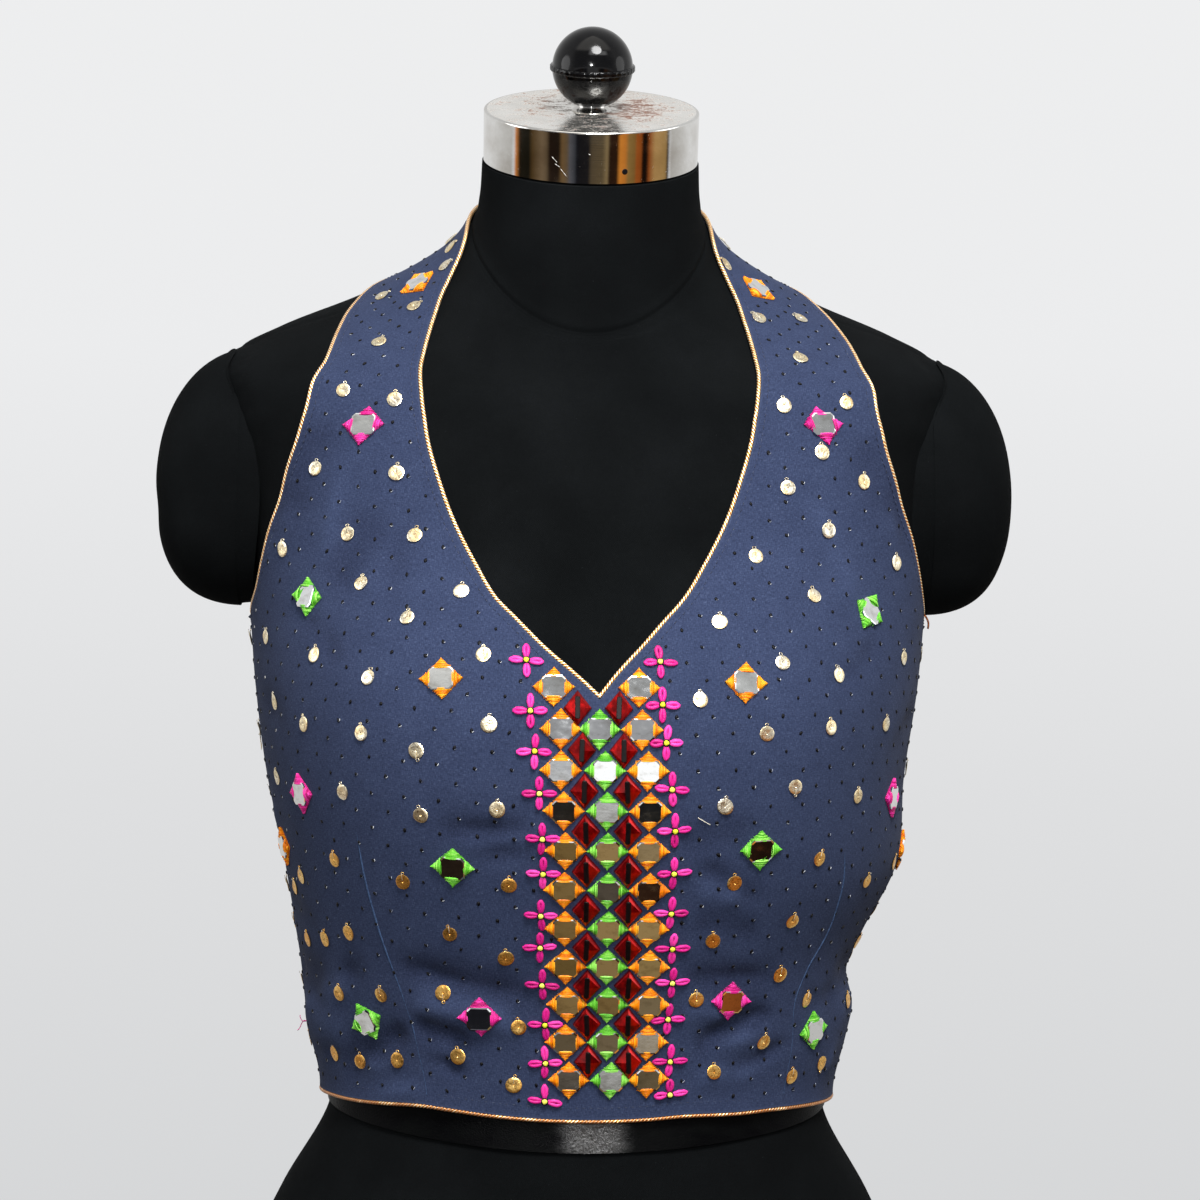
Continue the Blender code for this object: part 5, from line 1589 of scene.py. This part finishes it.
def tilted(place, x, y, height, spin=0, lean=(0, 0)):
    """Points of flat pieces seated on the cloth: place is from seat(), and spin and lean are in degrees."""
    origin, across, up, out = (part[:, None] for part in place)
    x, y = spun(x, y, np.asarray(spin, float)[..., None])
    slope_across, slope_up = np.tan(np.radians(lean))[..., None]
    height = height + x * slope_across + y * slope_up
    return origin + across * x[..., None] + up * y[..., None] + out * height[..., None]


def glass_mesh(turn, level, spin, lean, size=1.0):
    outline = clipped(MIRROR_WIDE / 2 * size, MIRROR_TALL / 2 * size, MIRROR_CLIP)
    mesh, single = repeat(plate(outline, ((1, 1, 0.6), (0.9, 0.9, GLASS_THICK))), len(turn))
    x, y, height = single.T
    set_points(mesh, tilted(seat(turn, level), x, y, height + GLASS_RISE - GLASS_THICK, spin, lean))
    return face_outward(mesh)


def build_scattered_mirrors():
    made = []
    turn, z, spin, *lean = np.array([(m.turn, m.z, m.turned, *m[-2:]) for m in MIRRORS], float).T
    level = level_at(turn, z)
    for i, row in enumerate(MIRRORS):
        name = "mirror_" + row.name
        mesh = satin_mesh(turn[i], level[i], spin[i], SCATTERED_SIZE)
        made.append(add_piece(mesh, name + "_satin", THREADS[row.colour], [name]))
    mesh = glass_mesh(turn, level, spin, lean, SCATTERED_SIZE)
    made.append(add_piece(mesh, "scattered_glass", GLASS, sharp=8))
    return made


def band_shift(column, step):
    if column in BAND_SHIFTS:
        return BAND_SHIFTS[column][min(step // 2, len(BAND_SHIFTS[column]) - 1)]
    return sum(band_shift(column + c, step + s) for c in (-1, 1) for s in (-1, 1)) / 4


def band_cells(cells):
    """(turn, level) of cells of the band, from (column, step) pairs counted in half diamonds."""
    across = np.array([c * DIAMOND_WIDE / 2 + band_shift(c, s) for c, s in cells])
    z = np.array([BAND_BOTTOM + s * DIAMOND_TALL / 2 for _, s in cells], float)
    return band_place(across, z)


def build_band():
    outer = [(c, s) for c in (-2, 2) for s in range(0, 2 * BAND_ROWS, 2)]
    middle = [(0, s) for s in range(0, 2 * BAND_ROWS - 2, 2)]
    made = []
    for colour, cells in (("orange", outer), ("green", middle)):
        turn, level = band_cells(cells)
        name = f"band_{colour}_satin"
        mesh = satin_mesh(turn, level, np.zeros(len(turn)))
        made.append(add_piece(mesh, name, THREADS[colour], ["mirror_band"]))
    turn, level = band_cells(outer + middle)
    mesh = glass_mesh(turn, level, 0, np.array(BAND_LEANS, float).T)
    made.append(add_piece(mesh, "band_glass", GLASS, ["mirror_band"], sharp=8))

    stones = [(c, s) for c in (-1, 1) for s in range(1, 2 * BAND_ROWS - 1, 2)]
    turn, level = band_cells(stones)
    wide, tall = STONE_WIDE / 2, STONE_TALL / 2
    bm = plate(
        rhomb(STONE_WIDE, STONE_TALL),
        ((1, 1, 0.9), (0.95, 0.955, 1.75), (0.86, 0.875, 2.05), (0.5 / wide, 5.3 / tall, 3.05)),
    )
    bar = plate(clipped(1.1, 4.9, 0.5), ((1, 1, 0.9), (0.8, 0.95, 1.05)))
    bmesh.ops.translate(bar, vec=(0, 0, 2.2), verts=bar.verts)
    for face in bar.faces:
        face.material_index = 1
    bar = to_mesh(bar)
    bm.from_mesh(bar)
    bpy.data.meshes.remove(bar)
    mesh, single = repeat(bm, len(turn))
    lean, spin = chance.normal(0, 1.5, (2, len(turn))), chance.normal(0, 1.5, len(turn))
    set_points(mesh, tilted(seat(turn, level), *single.T, spin, lean))
    made.append(
        add_piece(face_outward(mesh), "band_stones", STONE, ["mirror_band"], 12, [HEART])
    )
    return made


def build_daisies():
    """Lazy daisy stitches beside the band: four looped petals round a knot."""
    across, z = np.array(FLOWERS, float).T
    turn, level = band_place(across, z)
    petals = [
        (i, direction)
        for i in range(len(FLOWERS))
        for direction in (0, 90, 180, 270)
        if direction != 270 or z[i] > LOWEST_FLOWER
    ]
    flower, direction = np.array(petals).T
    count = len(petals)
    mesh, single = repeat(looped(7, 18), count)
    along, around = looped_places(single)
    out_share = (1 - np.cos(along)) / 2
    reach = PETAL_LENGTH - 2 * PETAL_THREAD
    length = (reach * chance.uniform(0.92, 1.08, count))[:, None]
    half_wide = ((PETAL_WIDE / 2 - PETAL_THREAD) * chance.uniform(0.85, 1.15, count))[:, None]
    swell = 0.35 + 0.65 * out_share**0.7
    ply = 1 + 0.07 * np.cos(2 * around - 9 * along)
    normal_x, normal_y = -np.cos(along), np.sin(along)
    flat = PETAL_THREAD * ply * np.cos(around)
    x = 1.3 + length * out_share + flat * normal_x * 0.9
    y = half_wide * np.sin(along) * np.abs(np.sin(along)) ** 0.4 * swell + flat * normal_y
    height = 0.75 + 0.35 * np.sin(math.pi * out_share) + 0.75 * PETAL_THREAD * ply * np.sin(around)
    spin = direction + chance.normal(0, 4, count)
    x, y = spun(x, y, spin[:, None])
    set_points(mesh, on_cloth(turn[flower][:, None], level[flower][:, None], x, y, height))
    random_tones(mesh, 0.2, 0.9, count)
    made = [add_piece(face_outward(mesh), "daisy_petals", MAGENTA)]

    knot = lathe([(0, 0), (1.0, 0), (1.3, 0.6), (1.1, 1.25), (0.5, 1.6), (0, 1.45)], 12)
    for vert in knot.verts:
        angle = math.atan2(vert.co.y, vert.co.x)
        lobe = 1 + 0.12 * math.cos(3 * angle + 2.2 * vert.co.z)
        vert.co.x *= lobe * KNOT_RADIUS / 1.3
        vert.co.y *= lobe * KNOT_RADIUS / 1.3
    mesh, single = repeat(knot, len(across))
    spin = chance.uniform(0, 360, len(across))
    x, y, height = single.T
    set_points(mesh, tilted(seat(turn, level), x, y, height + 0.95, spin))
    random_tones(mesh, 0.4, 0.9, len(across))
    made.append(add_piece(face_outward(mesh), "daisy_knots", YELLOW))

    # painted shade: a dark ring of thread round each knot stands for the shade round its edge
    mesh, single = repeat(looped(6, 14), len(across))
    along, around = looped_places(single)
    ply = 1 + 0.12 * np.cos(2 * around - 5 * along)
    reach = 1.42 + 0.24 * ply * np.cos(around)
    height = 1.6 + 0.24 * ply * np.sin(around)
    set_points(mesh, tilted(seat(turn, level), reach * np.cos(along), reach * np.sin(along), height, spin))
    made.append(add_piece(face_outward(mesh), "knot_shadow_rings", SEED))
    return made


# ---- sequins and seed stitches


PAINTED_LIGHT_ABOVE = 375  # painted highlight: the sequins are painted pale gold above this height,
PAINTED_SHADE_FADE = 28  # and painted shade turns them a deeper gold this far below it


def build_sequins():
    turn, z = np.array(SEQUINS, float).T
    level = level_at(turn, z)
    count = len(turn)
    disc = lathe(
        [(0, 0.05), (0.3, 0.08), (0.5, 0.28), (1.9, 0.31), (3.2, 0.4), (3.6, 0.24), (3.3, 0), (0, 0)], 16
    )
    mesh, single = repeat(disc, count)
    x, y, height = single.T
    angle = np.arctan2(y, x)
    reach = np.hypot(x, y) / SEQUIN_RADIUS
    phase = chance.uniform(0, 2 * math.pi, (3, count, 1))
    size = chance.uniform(0.9, 1.0, (count, 1))
    warp = reach**2 * (0.1 * np.cos(2 * angle + phase[0]) + 0.05 * np.cos(3 * angle + phase[1]))
    rim = 1 + 0.025 * reach * np.cos(2 * angle + phase[2])
    up_or_down = np.where(chance.random(count) < 0.93, 1.0, -1.0)
    lean = np.stack([chance.normal(0, 3.0, count), up_or_down * 2.0 + chance.normal(0, 3.0, count)])
    for number, known in enumerate(SEQUIN_LEANS, 3):
        if known:
            lean[:, number] = known
    uneven = np.where(np.abs(turn) > 75, chance.normal(0, 30, count), 0)
    # painted highlight and shade: sequins are painted pale gold high up and a darker gold lower down; at the
    # sides the height where this turns varies at random
    tarnish_and_painted_shade = ease((PAINTED_LIGHT_ABOVE - z + uneven) / PAINTED_SHADE_FADE)
    place = seat(turn, level)
    set_points(mesh, tilted(place, x * size * rim, y * size * rim, height + warp + 0.4, 0, lean))
    set_marks(mesh, "tarnish_and_painted_shade", np.repeat(tarnish_and_painted_shade, len(single)))
    made = [add_piece(face_outward(mesh), "sequins", SEQUIN, sharp=35)]

    mesh, single = repeat(looped(5, 10), count)
    along, around = looped_places(single)
    wire = 0.17 * np.cos(around)
    x = (0.78 + wire) * np.cos(along) + chance.normal(0, 0.4, (count, 1))
    y = up_or_down[:, None] * (4.15 * size) + (0.62 + wire) * np.sin(along)
    set_points(mesh, tilted(place, x, y, 0.55 + 0.17 * np.sin(around)))
    set_marks(mesh, "tarnish_and_painted_shade", np.repeat(tarnish_and_painted_shade, len(single)))
    made.append(add_piece(face_outward(mesh), "sequin_loops", SEQUIN))

    mesh, single = repeat(rolled(5, 3), count)
    angle, share = rolled_angles(single)
    reach = np.where(chance.random(count) < 0.4, 3.4, 0.6)[:, None] * up_or_down[:, None]
    x = 0.13 * np.cos(angle) + chance.normal(0, 0.2, (count, 1)) * share
    y = reach + (up_or_down[:, None] * 4.3 - reach) * share
    height = 0.95 + 0.2 * np.sin(math.pi * share) + 0.13 * np.sin(angle)
    set_points(mesh, tilted(place, x, y, height, 0, lean))
    random_tones(mesh, 0.0, 0.6, count)
    made.append(add_piece(face_outward(mesh), "sequin_threads", CREAM))
    return made


def within(outline, turn, level):
    """Which places lie inside a closed outline of (turn, level) corners."""
    inside = np.zeros(len(turn), bool)
    for (t0, l0), (t1, l1) in zip(outline, np.roll(outline, -1, axis=0)):
        if l0 == l1:
            continue
        crosses = (l0 > level) != (l1 > level)
        inside ^= crosses & (turn < (t1 - t0) * (level - l0) / (l1 - l0) + t0)
    return inside


def nearest(points, others):
    """Each point's distance to the nearest of the others, in mm."""
    found = np.full(len(points), 1e9)
    for start in range(0, len(others), 400):
        away = np.linalg.norm(points[:, None] - others[None, start:start + 400], axis=-1)
        found = np.minimum(found, away.min(axis=1))
    return found


def seed_places():
    """A lattice of places in even rows up the cloth, with alternate rows shifted by half a pitch."""
    turns = np.arange(-186.0, 186.5, 0.5)
    places = []
    levels = np.linspace(HEM_LEVEL, LEVEL_GRID[-1], 400)
    table = np.stack([
        read_grid(UP_GRID, turns, np.full(len(turns), level)) for level in levels
    ])
    hem = table[0]
    for k in range(1, 75):
        level = np.array([
            np.interp(hem[i] + k * SEED_ROWS, table[:, i], levels, right=np.nan) for i in range(len(turns))
        ])
        good = ~np.isnan(level)
        if good.sum() < 3:
            continue
        across = read_grid(ACROSS_GRID, turns, np.where(good, level, HEM_LEVEL))
        middle = np.interp(float(centre_turn(np.nanmedian(level))), turns, across)
        shift = SEED_PITCH / 2 if k % 2 else 0.0
        for n in range(-40, 41):
            wanted = middle + shift + n * SEED_PITCH
            if not across[0] < wanted < across[-1]:
                continue
            turn = float(np.interp(wanted, across, turns))
            at = float(np.interp(turn, turns, np.where(good, level, np.nan)))
            if not math.isnan(at):
                places.append((turn, at))
    return np.array(places)


CLEAR_OF_SEQUIN, CLEAR_OF_MIRROR, CLEAR_OF_FLOWER, CLEAR_OF_EDGE = 5.2, 9.6, 5.6, 5.0  # mm to a seed
BAND_REACH, BAND_TOP = 29, 446  # no seed is sewn nearer the centre front than this, up to this height
FRONT_RADIUS = 118  # takes a turn at the front to a length


def build_seeds():
    places = seed_places()
    rows = np.arange(0, STRAP_ROW + 0.01, 0.5)
    above = rows[rows >= V_ROW]
    front = np.vstack([
        outer_edge(1, rows), inner_edge(1, above[::-1]), inner_edge(-1, above[1:]),
        outer_edge(-1, rows[::-1]),
    ])
    share = np.linspace(0, 1, 60)
    halves = [
        np.vstack([back_place(side, np.zeros(60), share), back_place(side, np.ones(60), share[::-1])])
        for side in (-1, 1)
    ]
    kept = []
    beads = [(t, float(level_at(t, z)), CLEAR_OF_SEQUIN) for t, z in SEQUINS]
    beads += [(m.turn, float(level_at(m.turn, m.z)), CLEAR_OF_MIRROR) for m in MIRRORS]
    flowers = zip(*band_place(*np.array(FLOWERS, float).T))
    beads += [(t, level, CLEAR_OF_FLOWER) for t, level in flowers]
    bead_points = cloth(*np.array([b[:2] for b in beads]).T, WALL)
    bead_reach = np.array([b[2] for b in beads])
    for outline in (front, *halves):
        own = places[within(outline, *places.T)]
        edge = cloth(*outline.T, WALL)
        points = cloth(*own.T, WALL)
        good = nearest(points, edge) > CLEAR_OF_EDGE
        away = np.linalg.norm(points[:, None] - bead_points[None], axis=-1) - bead_reach
        good &= away.min(axis=1) > 0
        from_band = (own[:, 0] - centre_turn(own[:, 1])) * math.pi / 180 * FRONT_RADIUS
        good &= (np.abs(from_band) > BAND_REACH) | (points[:, 2] > BAND_TOP) | (np.abs(own[:, 0]) > 90)
        kept.append(own[good])
    turn, level = np.vstack(kept).T
    count = len(turn)
    mesh, single = repeat(rolled(6, 4), count)
    angle, share = rolled_angles(single)
    swell = np.sin(math.pi * np.clip(share, 0.06, 0.94)) ** 0.6
    long = chance.uniform(0.75, 1.05, (count, 1))
    x = 0.82 * swell * np.cos(angle) * chance.uniform(0.8, 1.1, (count, 1))
    y = (share - 0.5) * 2 * long
    height = 0.16 + 0.42 * swell * np.sin(angle)
    spin = chance.normal(0, 25, count)
    level = level + chance.normal(0, 0.006, count)
    turn = turn + chance.normal(0, 0.12, count)
    set_points(mesh, tilted(seat(turn, level), x, y, height, spin))
    made = [add_piece(face_outward(mesh), "seed_stitches", SEED)]

    # painted glints: a pale crescent of thread beside most seed stitches stands for their highlight
    lit = chance.random(count) < 0.72
    turn, level, spin, count = turn[lit], level[lit], spin[lit], int(lit.sum())
    mesh, single = repeat(rolled(5, 4), count)
    angle, share = rolled_angles(single)
    along = (share - 0.5) * chance.uniform(1.0, 1.7, (count, 1))
    x = 0.55 + along * 0.85
    y = -0.62 + along**2 * 0.7 + along * 0.35 + 0.2 * np.cos(angle)
    set_points(mesh, tilted(seat(turn, level), x, y, 0.22 + 0.17 * np.sin(angle), spin * 0.8))
    random_tones(mesh, 0.0, 1.0, count)
    made.append(add_piece(face_outward(mesh), "seed_painted_glints", GLINT_THREAD))
    return made


# ---- the dress form

ARM_Y = 9.0
ARM_Z = 515.5
ARM_HALF_DEEP = 43.0
ARM_HALF_TALL = 60.5
ARM_FACE_X = 150.0
ARM_TIP_X = 201.4
ARM_GAP = 0.7
ARM_RIM = 1.4
ARM_SEAM_X = 158.0
ARM_POWER_HIGH = 2.0
ARM_POWER_LOW = 3.0
ARM_TURNED = 0.92  # share of the way out at which the jersey turns under
NECK_SEAM = 21.0
NECK_TUCK = 0.06  # levels that the neck's jersey reaches down into the seam
TAPE_HALF = 21.0
TAPE_SLOPE = 15.0
TAPE_Z = 251.0
TAPE_WALL = 1.0
TAPE_GAP = 0.7
CAP_SEAT = SECTIONS[-1]
CAP_TILT = math.atan2(CAP_SEAT.back_z - CAP_SEAT.front_z, CAP_SEAT.back_y - CAP_SEAT.front_y)
CAP_CLEAR = 0.42
CAP_RADIUS = 50.0
CAP_HEIGHT = 24.0
CAP_SCRATCHES = (  # (turn, z) of one end of each, from the middle of the cap's foot, and of the other
    (-111.5, 11.9, -108.8, 9.7), (-109.9, 8.9, -107.2, 7.6), (-106.7, 6.8, -103.6, 3.6),
    (-92.2, 14.3, -91.4, 13.9),
)
KNOB_RADIUS = 18.7
KNOB_STEM = 2.5
KNOB_SEAT = 0.9


def build_body():
    """The padded figure, with grooves along the neck seam, the armholes and down its sides."""
    mesh = to_mesh(rolled(200, 230))
    round_share, share = rolled_places(points_of(mesh))
    turn, level = round_share * 360 - 180, share * NECK_SEAM
    points = figure(turn, level, False)
    reach = np.hypot((points[:, 1] - ARM_Y) / ARM_HALF_DEEP, (points[:, 2] - ARM_Z) / ARM_HALF_TALL)
    groove = 0.9 * np.exp(-(((reach - 1.05) * 45 / 1.6) ** 2)) * (np.abs(points[:, 0]) > 90)
    groove += 0.7 * np.exp(-(((NECK_SEAM - level) / 0.07) ** 2))
    groove += 0.4 * np.exp(-(((np.abs(turn) - 90) * 2.3 / 1.3) ** 2)) * (level < 18)
    groove += 0.35 * np.exp(-(((180 - np.abs(turn)) * 2.0 / 1.3) ** 2))
    groove[level < 0.01] = 0
    points = points - figure_normal(turn, np.clip(level, 0.05, 22), False) * groove[:, None]
    set_points(mesh, points)
    return add_piece(face_outward(mesh), "form_body_jersey", JERSEY, ["form_body"], 50)


def build_neck():
    mesh = to_mesh(rolled(180, 44))
    round_share, share = rolled_places(points_of(mesh))
    turn = round_share * 360 - 180
    level = NECK_SEAM - NECK_TUCK + (CAP_LEVEL - NECK_SEAM + NECK_TUCK) * share
    points = figure(turn, level, False)
    roll = 0.35 * np.exp(-(((level - NECK_SEAM - 0.12) / 0.1) ** 2))
    roll -= 0.6 * np.exp(-(((level - NECK_SEAM) / 0.05) ** 2))
    points = points + figure_normal(turn, np.clip(level, 0, CAP_LEVEL - 0.1), False) * roll[:, None]
    set_points(mesh, points)
    return add_piece(face_outward(mesh), "form_neck_jersey", NECK_JERSEY, ["form_neck"], 50)


def side_x(y, z):
    """Where the figure's side lies, at +X, for each y and z of the arm cap's face."""
    turn = np.full(y.shape, 90.0)
    for _ in range(6):
        level = level_at(turn, z, False)
        away = y - figure(turn, level, False)[..., 1]
        turn = turn + np.degrees(away / ARM_FACE_X)
    return figure(turn, level_at(turn, z, False), False)[..., 0]


def build_arm_cap(side, name):
    """The padded cap on an armhole: a dome of jersey with a rolled edge."""
    mesh = to_mesh(rolled(96, 40))
    angle, share = rolled_angles(points_of(mesh))
    reach = np.sin(np.clip(share / ARM_TURNED, 0, 1) * math.pi / 2)
    under = np.clip((share - ARM_TURNED) / (1 - ARM_TURNED), 0, 1)
    reach = reach - 0.03 * under
    y = ARM_Y + ARM_HALF_DEEP * reach * np.cos(angle)
    z = ARM_Z + ARM_HALF_TALL * reach * np.sin(angle)
    face = side_x(y, z) + ARM_GAP * 0.3
    low = ease(0.5 - np.sin(angle) / 2)
    power = ARM_POWER_HIGH + (ARM_POWER_LOW - ARM_POWER_HIGH) * low
    swell = np.clip(1 - reach**power, 0, 1) ** (2 / (2 + power))
    dome = np.maximum(ARM_SEAM_X + (ARM_TIP_X - ARM_SEAM_X) * swell, face + ARM_RIM)
    dent, dent_z = (0.9, 500) if side < 0 else (0.4, 478)
    dent = dent * np.exp(-(((z - dent_z) / 9) ** 2)) * swell
    x = np.where(under > 0, dome + (face - 1.0 - dome) * under, dome - dent)
    set_points(mesh, np.stack([side * x, y, z], -1))
    return add_piece(face_outward(mesh, 1e-6), name + "_jersey", JERSEY, [name], 60)


def build_tape():
    """The patent tape round the waist, which hangs lower at the front."""
    mesh = to_mesh(rolled(180, 12, ends=False))
    round_share, share = rolled_places(points_of(mesh))
    turn = round_share * 360 - 180
    step = 2 * share - 1
    z = TAPE_Z - TAPE_SLOPE * np.cos(np.radians(turn)) + step * TAPE_HALF
    level = level_at(turn, z, False)
    wave = 0.25 * np.sin(np.radians(turn) * 7 + 1) * step + 0.2 * np.sin(np.radians(turn) * 13)
    crown = 0.35 * (1 - step**4)
    rise = TAPE_GAP + TAPE_WALL + crown + wave * 0.6
    set_points(mesh, figure(turn, level, False) + figure_normal(turn, level, False) * rise[:, None])
    set_marks(mesh, "rucked", np.exp(-(((turn - 4) / 11) ** 2)) * np.exp(-(((step + 0.45) / 0.8) ** 4)))
    return thicken(add_piece(face_outward(mesh), "waist_tape", TAPE, ["waist_band"]), TAPE_WALL)


def on_cap(points):
    """Points given from the middle of the cap's foot, along its tilted axis, in the row frame."""
    turns = np.arange(36) * 10.0
    base = figure(turns, CAP_LEVEL, False).mean(axis=0) + np.array([0, 0, CAP_CLEAR])
    forward = np.array([0, math.cos(CAP_TILT), math.sin(CAP_TILT)])
    axis = np.array([0, -math.sin(CAP_TILT), math.cos(CAP_TILT)])
    return base + points[:, :1] * np.array([1.0, 0, 0]) + points[:, 1:2] * forward + points[:, 2:] * axis


def torn_edge(share, along):
    return 0.11 + 0.05 * np.sin(along * 2.6)


def build_cap():
    """The chromed cap: a plain wall, a bevelled rim and a slightly sunken, rusting top."""
    tall = CAP_HEIGHT
    profile = [
        (0, 0), (46, 0), (49.4, 0.1), (50, 0.6), (50, 1.2), (50, 10), (50, 16), (50, tall - 1.1),
        (50, tall - 0.7), (49.9, tall - 0.35), (49.6, tall - 0.1), (49.2, tall), (48.6, tall),
        *((r, tall - 0.25 + 0.25 * (r / 48) ** 4) for r in range(46, 0, -4)), (0, tall - 0.25),
    ]
    bm = lathe(profile, 144)
    for face in bm.faces:
        middle = face.calc_center_median()
        if middle.z > tall - 0.5 and math.hypot(middle.x, middle.y) < 48.8:
            face.material_index = 1
    mesh = to_mesh(bm)
    local = points_of(mesh)
    worst = np.exp(-((local[:, 0] - 20) ** 2) / 220 - (local[:, 1] - 3) ** 2 / 800)
    wear_and_painted_shade = np.exp(-((local[:, 0] + 21) ** 2) / 140 - (local[:, 1] - 6) ** 2 / 700)
    set_marks(mesh, "rusty", np.clip(worst + 0.6 * wear_and_painted_shade, 0, 1))
    set_points(mesh, on_cap(local))
    add_piece(face_outward(mesh), "neck_cap_chrome", CHROME, ["neck_cap"], 35, [WORN_CHROME])
    hole = lathe([(0, -0.5), (1.2, -0.5), (1.35, 0.04), (1.2, 0.1), (0.7, 0.06), (0, 0.03)], 16)
    mesh = to_mesh(hole)
    local = points_of(mesh)
    turn = math.radians(-73)
    side = np.array([math.cos(turn), math.sin(turn), 0])
    points = (
        np.array([-math.sin(turn), math.cos(turn), 0])[None] * local[:, :1]
        + np.array([0, 0, 1.0])[None] * local[:, 1:2] + side[None] * (local[:, 2:] + CAP_RADIUS)
        + np.array([0, 0, 6.0])
    )
    set_points(mesh, on_cap(points))
    add_piece(face_outward(mesh), "cap_rivet", SEED)
    for k, (turn, z, to_turn, to_z) in enumerate(CAP_SCRATCHES, 1):
        at = np.linspace(0, 1, 12)
        turns = np.radians(turn + (to_turn - turn) * at)
        line = np.stack([np.cos(turns), np.sin(turns)], -1) * (CAP_RADIUS + 0.02)
        line = on_cap(np.column_stack([line, z + (to_z - z) * at]))
        out = on_cap(np.stack([np.cos(turns), np.sin(turns), turns * 0], -1)) - on_cap(np.zeros((12, 3)))
        mesh = tube(line, out, torn_edge, 6, 0.3)
        add_piece(mesh, f"cap_scratch_{k}", SCRATCHED)


def build_knob():
    """The black ball with its knurled rib, on a short flared chrome stem."""
    foot = CAP_HEIGHT - 0.4
    centre = CAP_HEIGHT + GAP + KNOB_STEM + KNOB_RADIUS * KNOB_SEAT
    flare = [(0, foot), (9.0, foot), (9.2, foot + 0.5), (8.4, foot + 1.3), (7.2, foot + 2.4),
             (7.0, foot + 3.6), (7.6, foot + 5.0), (6.0, foot + 6.5), (0, foot + 6.5)]
    mesh = to_mesh(lathe(flare, 64))
    set_points(mesh, on_cap(points_of(mesh)))
    add_piece(face_outward(mesh), "knob_stem", CHROME, ["knob"], 50)
    below, above = (
        [(KNOB_RADIUS * math.cos(a), centre + KNOB_RADIUS * math.sin(a)) for a in np.radians(arc)]
        for arc in (np.linspace(-86, -4.5, 20), np.linspace(4.5, 86, 20))
    )
    rib = [(19.3, centre - 1.35), (19.7, centre - 0.9), (19.7, centre + 0.9), (19.3, centre + 1.35)]
    profile = [(0, centre - KNOB_RADIUS), *below, *rib, *above, (0, centre + KNOB_RADIUS)]
    mesh = to_mesh(lathe(profile, 120))
    local = points_of(mesh)
    angle = np.arctan2(local[:, 1], local[:, 0])
    on_rib = np.abs(local[:, 2] - centre) < 1.0
    knurl = 1 - np.where(on_rib, 0.022 * (np.cos(angle * 40) > 0.2), 0)
    local[:, :2] *= knurl[:, None]
    set_points(mesh, on_cap(local))
    add_piece(face_outward(mesh), "knob_ball", BLACK, ["knob"], 50)


# ---- loose threads


def build_loose_threads():
    """Stray ends: a magenta one at the left side, a cream one on the ribs and a tail of piping."""
    for name, finish, slot, turn, level_z, path in (
        ("stray_magenta", MAGENTA, "magenta_stitch", -86.0, 262.0,
         ((0, 0, 0.1), (-1.5, 0.6, 1.6), (-3, -0.6, 3.0), (-4.5, -2.6, 4.4), (-4.0, -3.4, 5.6))),
        ("stray_magenta_end", MAGENTA, "magenta_stitch", -86.0, 262.0,
         ((-1, 0.2, 1.0), (-2.4, 0.4, 2.6), (-2.2, 2.4, 3.4), (-1.8, 3.2, 3.2))),
        ("stray_cream", CREAM, "gold_piping", 25.0, 367.5,
         ((0, 0, 0.3), (1.9, -1.1, 0.7), (3.7, -2.2, 0.7), (5.6, -3.3, 0.3))),
    ):
        level = float(level_at(turn, level_z))
        x, y, rise = np.array(path, float).T
        steps = np.linspace(0, 1, len(x))
        at = np.linspace(0, 1, 30)
        x, y, rise = (smooth(steps, values, at) for values in (x, y, rise))
        line = on_cloth(np.full(30, turn), np.full(30, level), x, y, rise)
        out = np.tile(figure_normal(np.array([turn]), np.array([level]), True), (30, 1))
        mesh = tube(line, out, lambda share, along: 0.19 + along * 0, 6, 0.5)
        set_marks(mesh, "tone", np.full(len(mesh.vertices), 0.6))
        add_piece(mesh, name, finish)
    places = armhole_places(1)[60:62]
    start, out = edge_line(places, -1, STRAP_END, PIPE_RADIUS, WALL / 2)
    at = np.linspace(0, 1, 24)[:, None]
    drop = np.array([2.4, -0.5, -7.5])
    line = start[0] + drop * at + out[0] * np.sin(at * math.pi) * 1.2
    out = np.tile(out[0], (24, 1))
    mesh = tube(line, out, lambda share, along: 0.42 + 0.1 * share, 7, 0.5)
    add_piece(mesh, "piping_tail", PIPING)


# ---- all of it

build_light(*build_camera())
build_world()
build_floor()
bpy.context.scene.view_settings.view_transform = "Standard"

front = build_front()
back_left = build_back(-1, "back_left")
back_right = build_back(1, "back_right")
pipings = build_pipings()
stitching = [build_topstitching(), *build_darts()]
mirrors = build_scattered_mirrors()
band = build_band()
daisies = build_daisies()
sequins = build_sequins()
seeds = build_seeds()
body = build_body()
build_neck()
build_arm_cap(-1, "arm_cap_left")
build_arm_cap(1, "arm_cap_right")
build_tape()
build_cap()
build_knob()
build_loose_threads()

print("cloth areas", *(round(sheet_size(piece), 4) for piece in (front, back_left, back_right)))
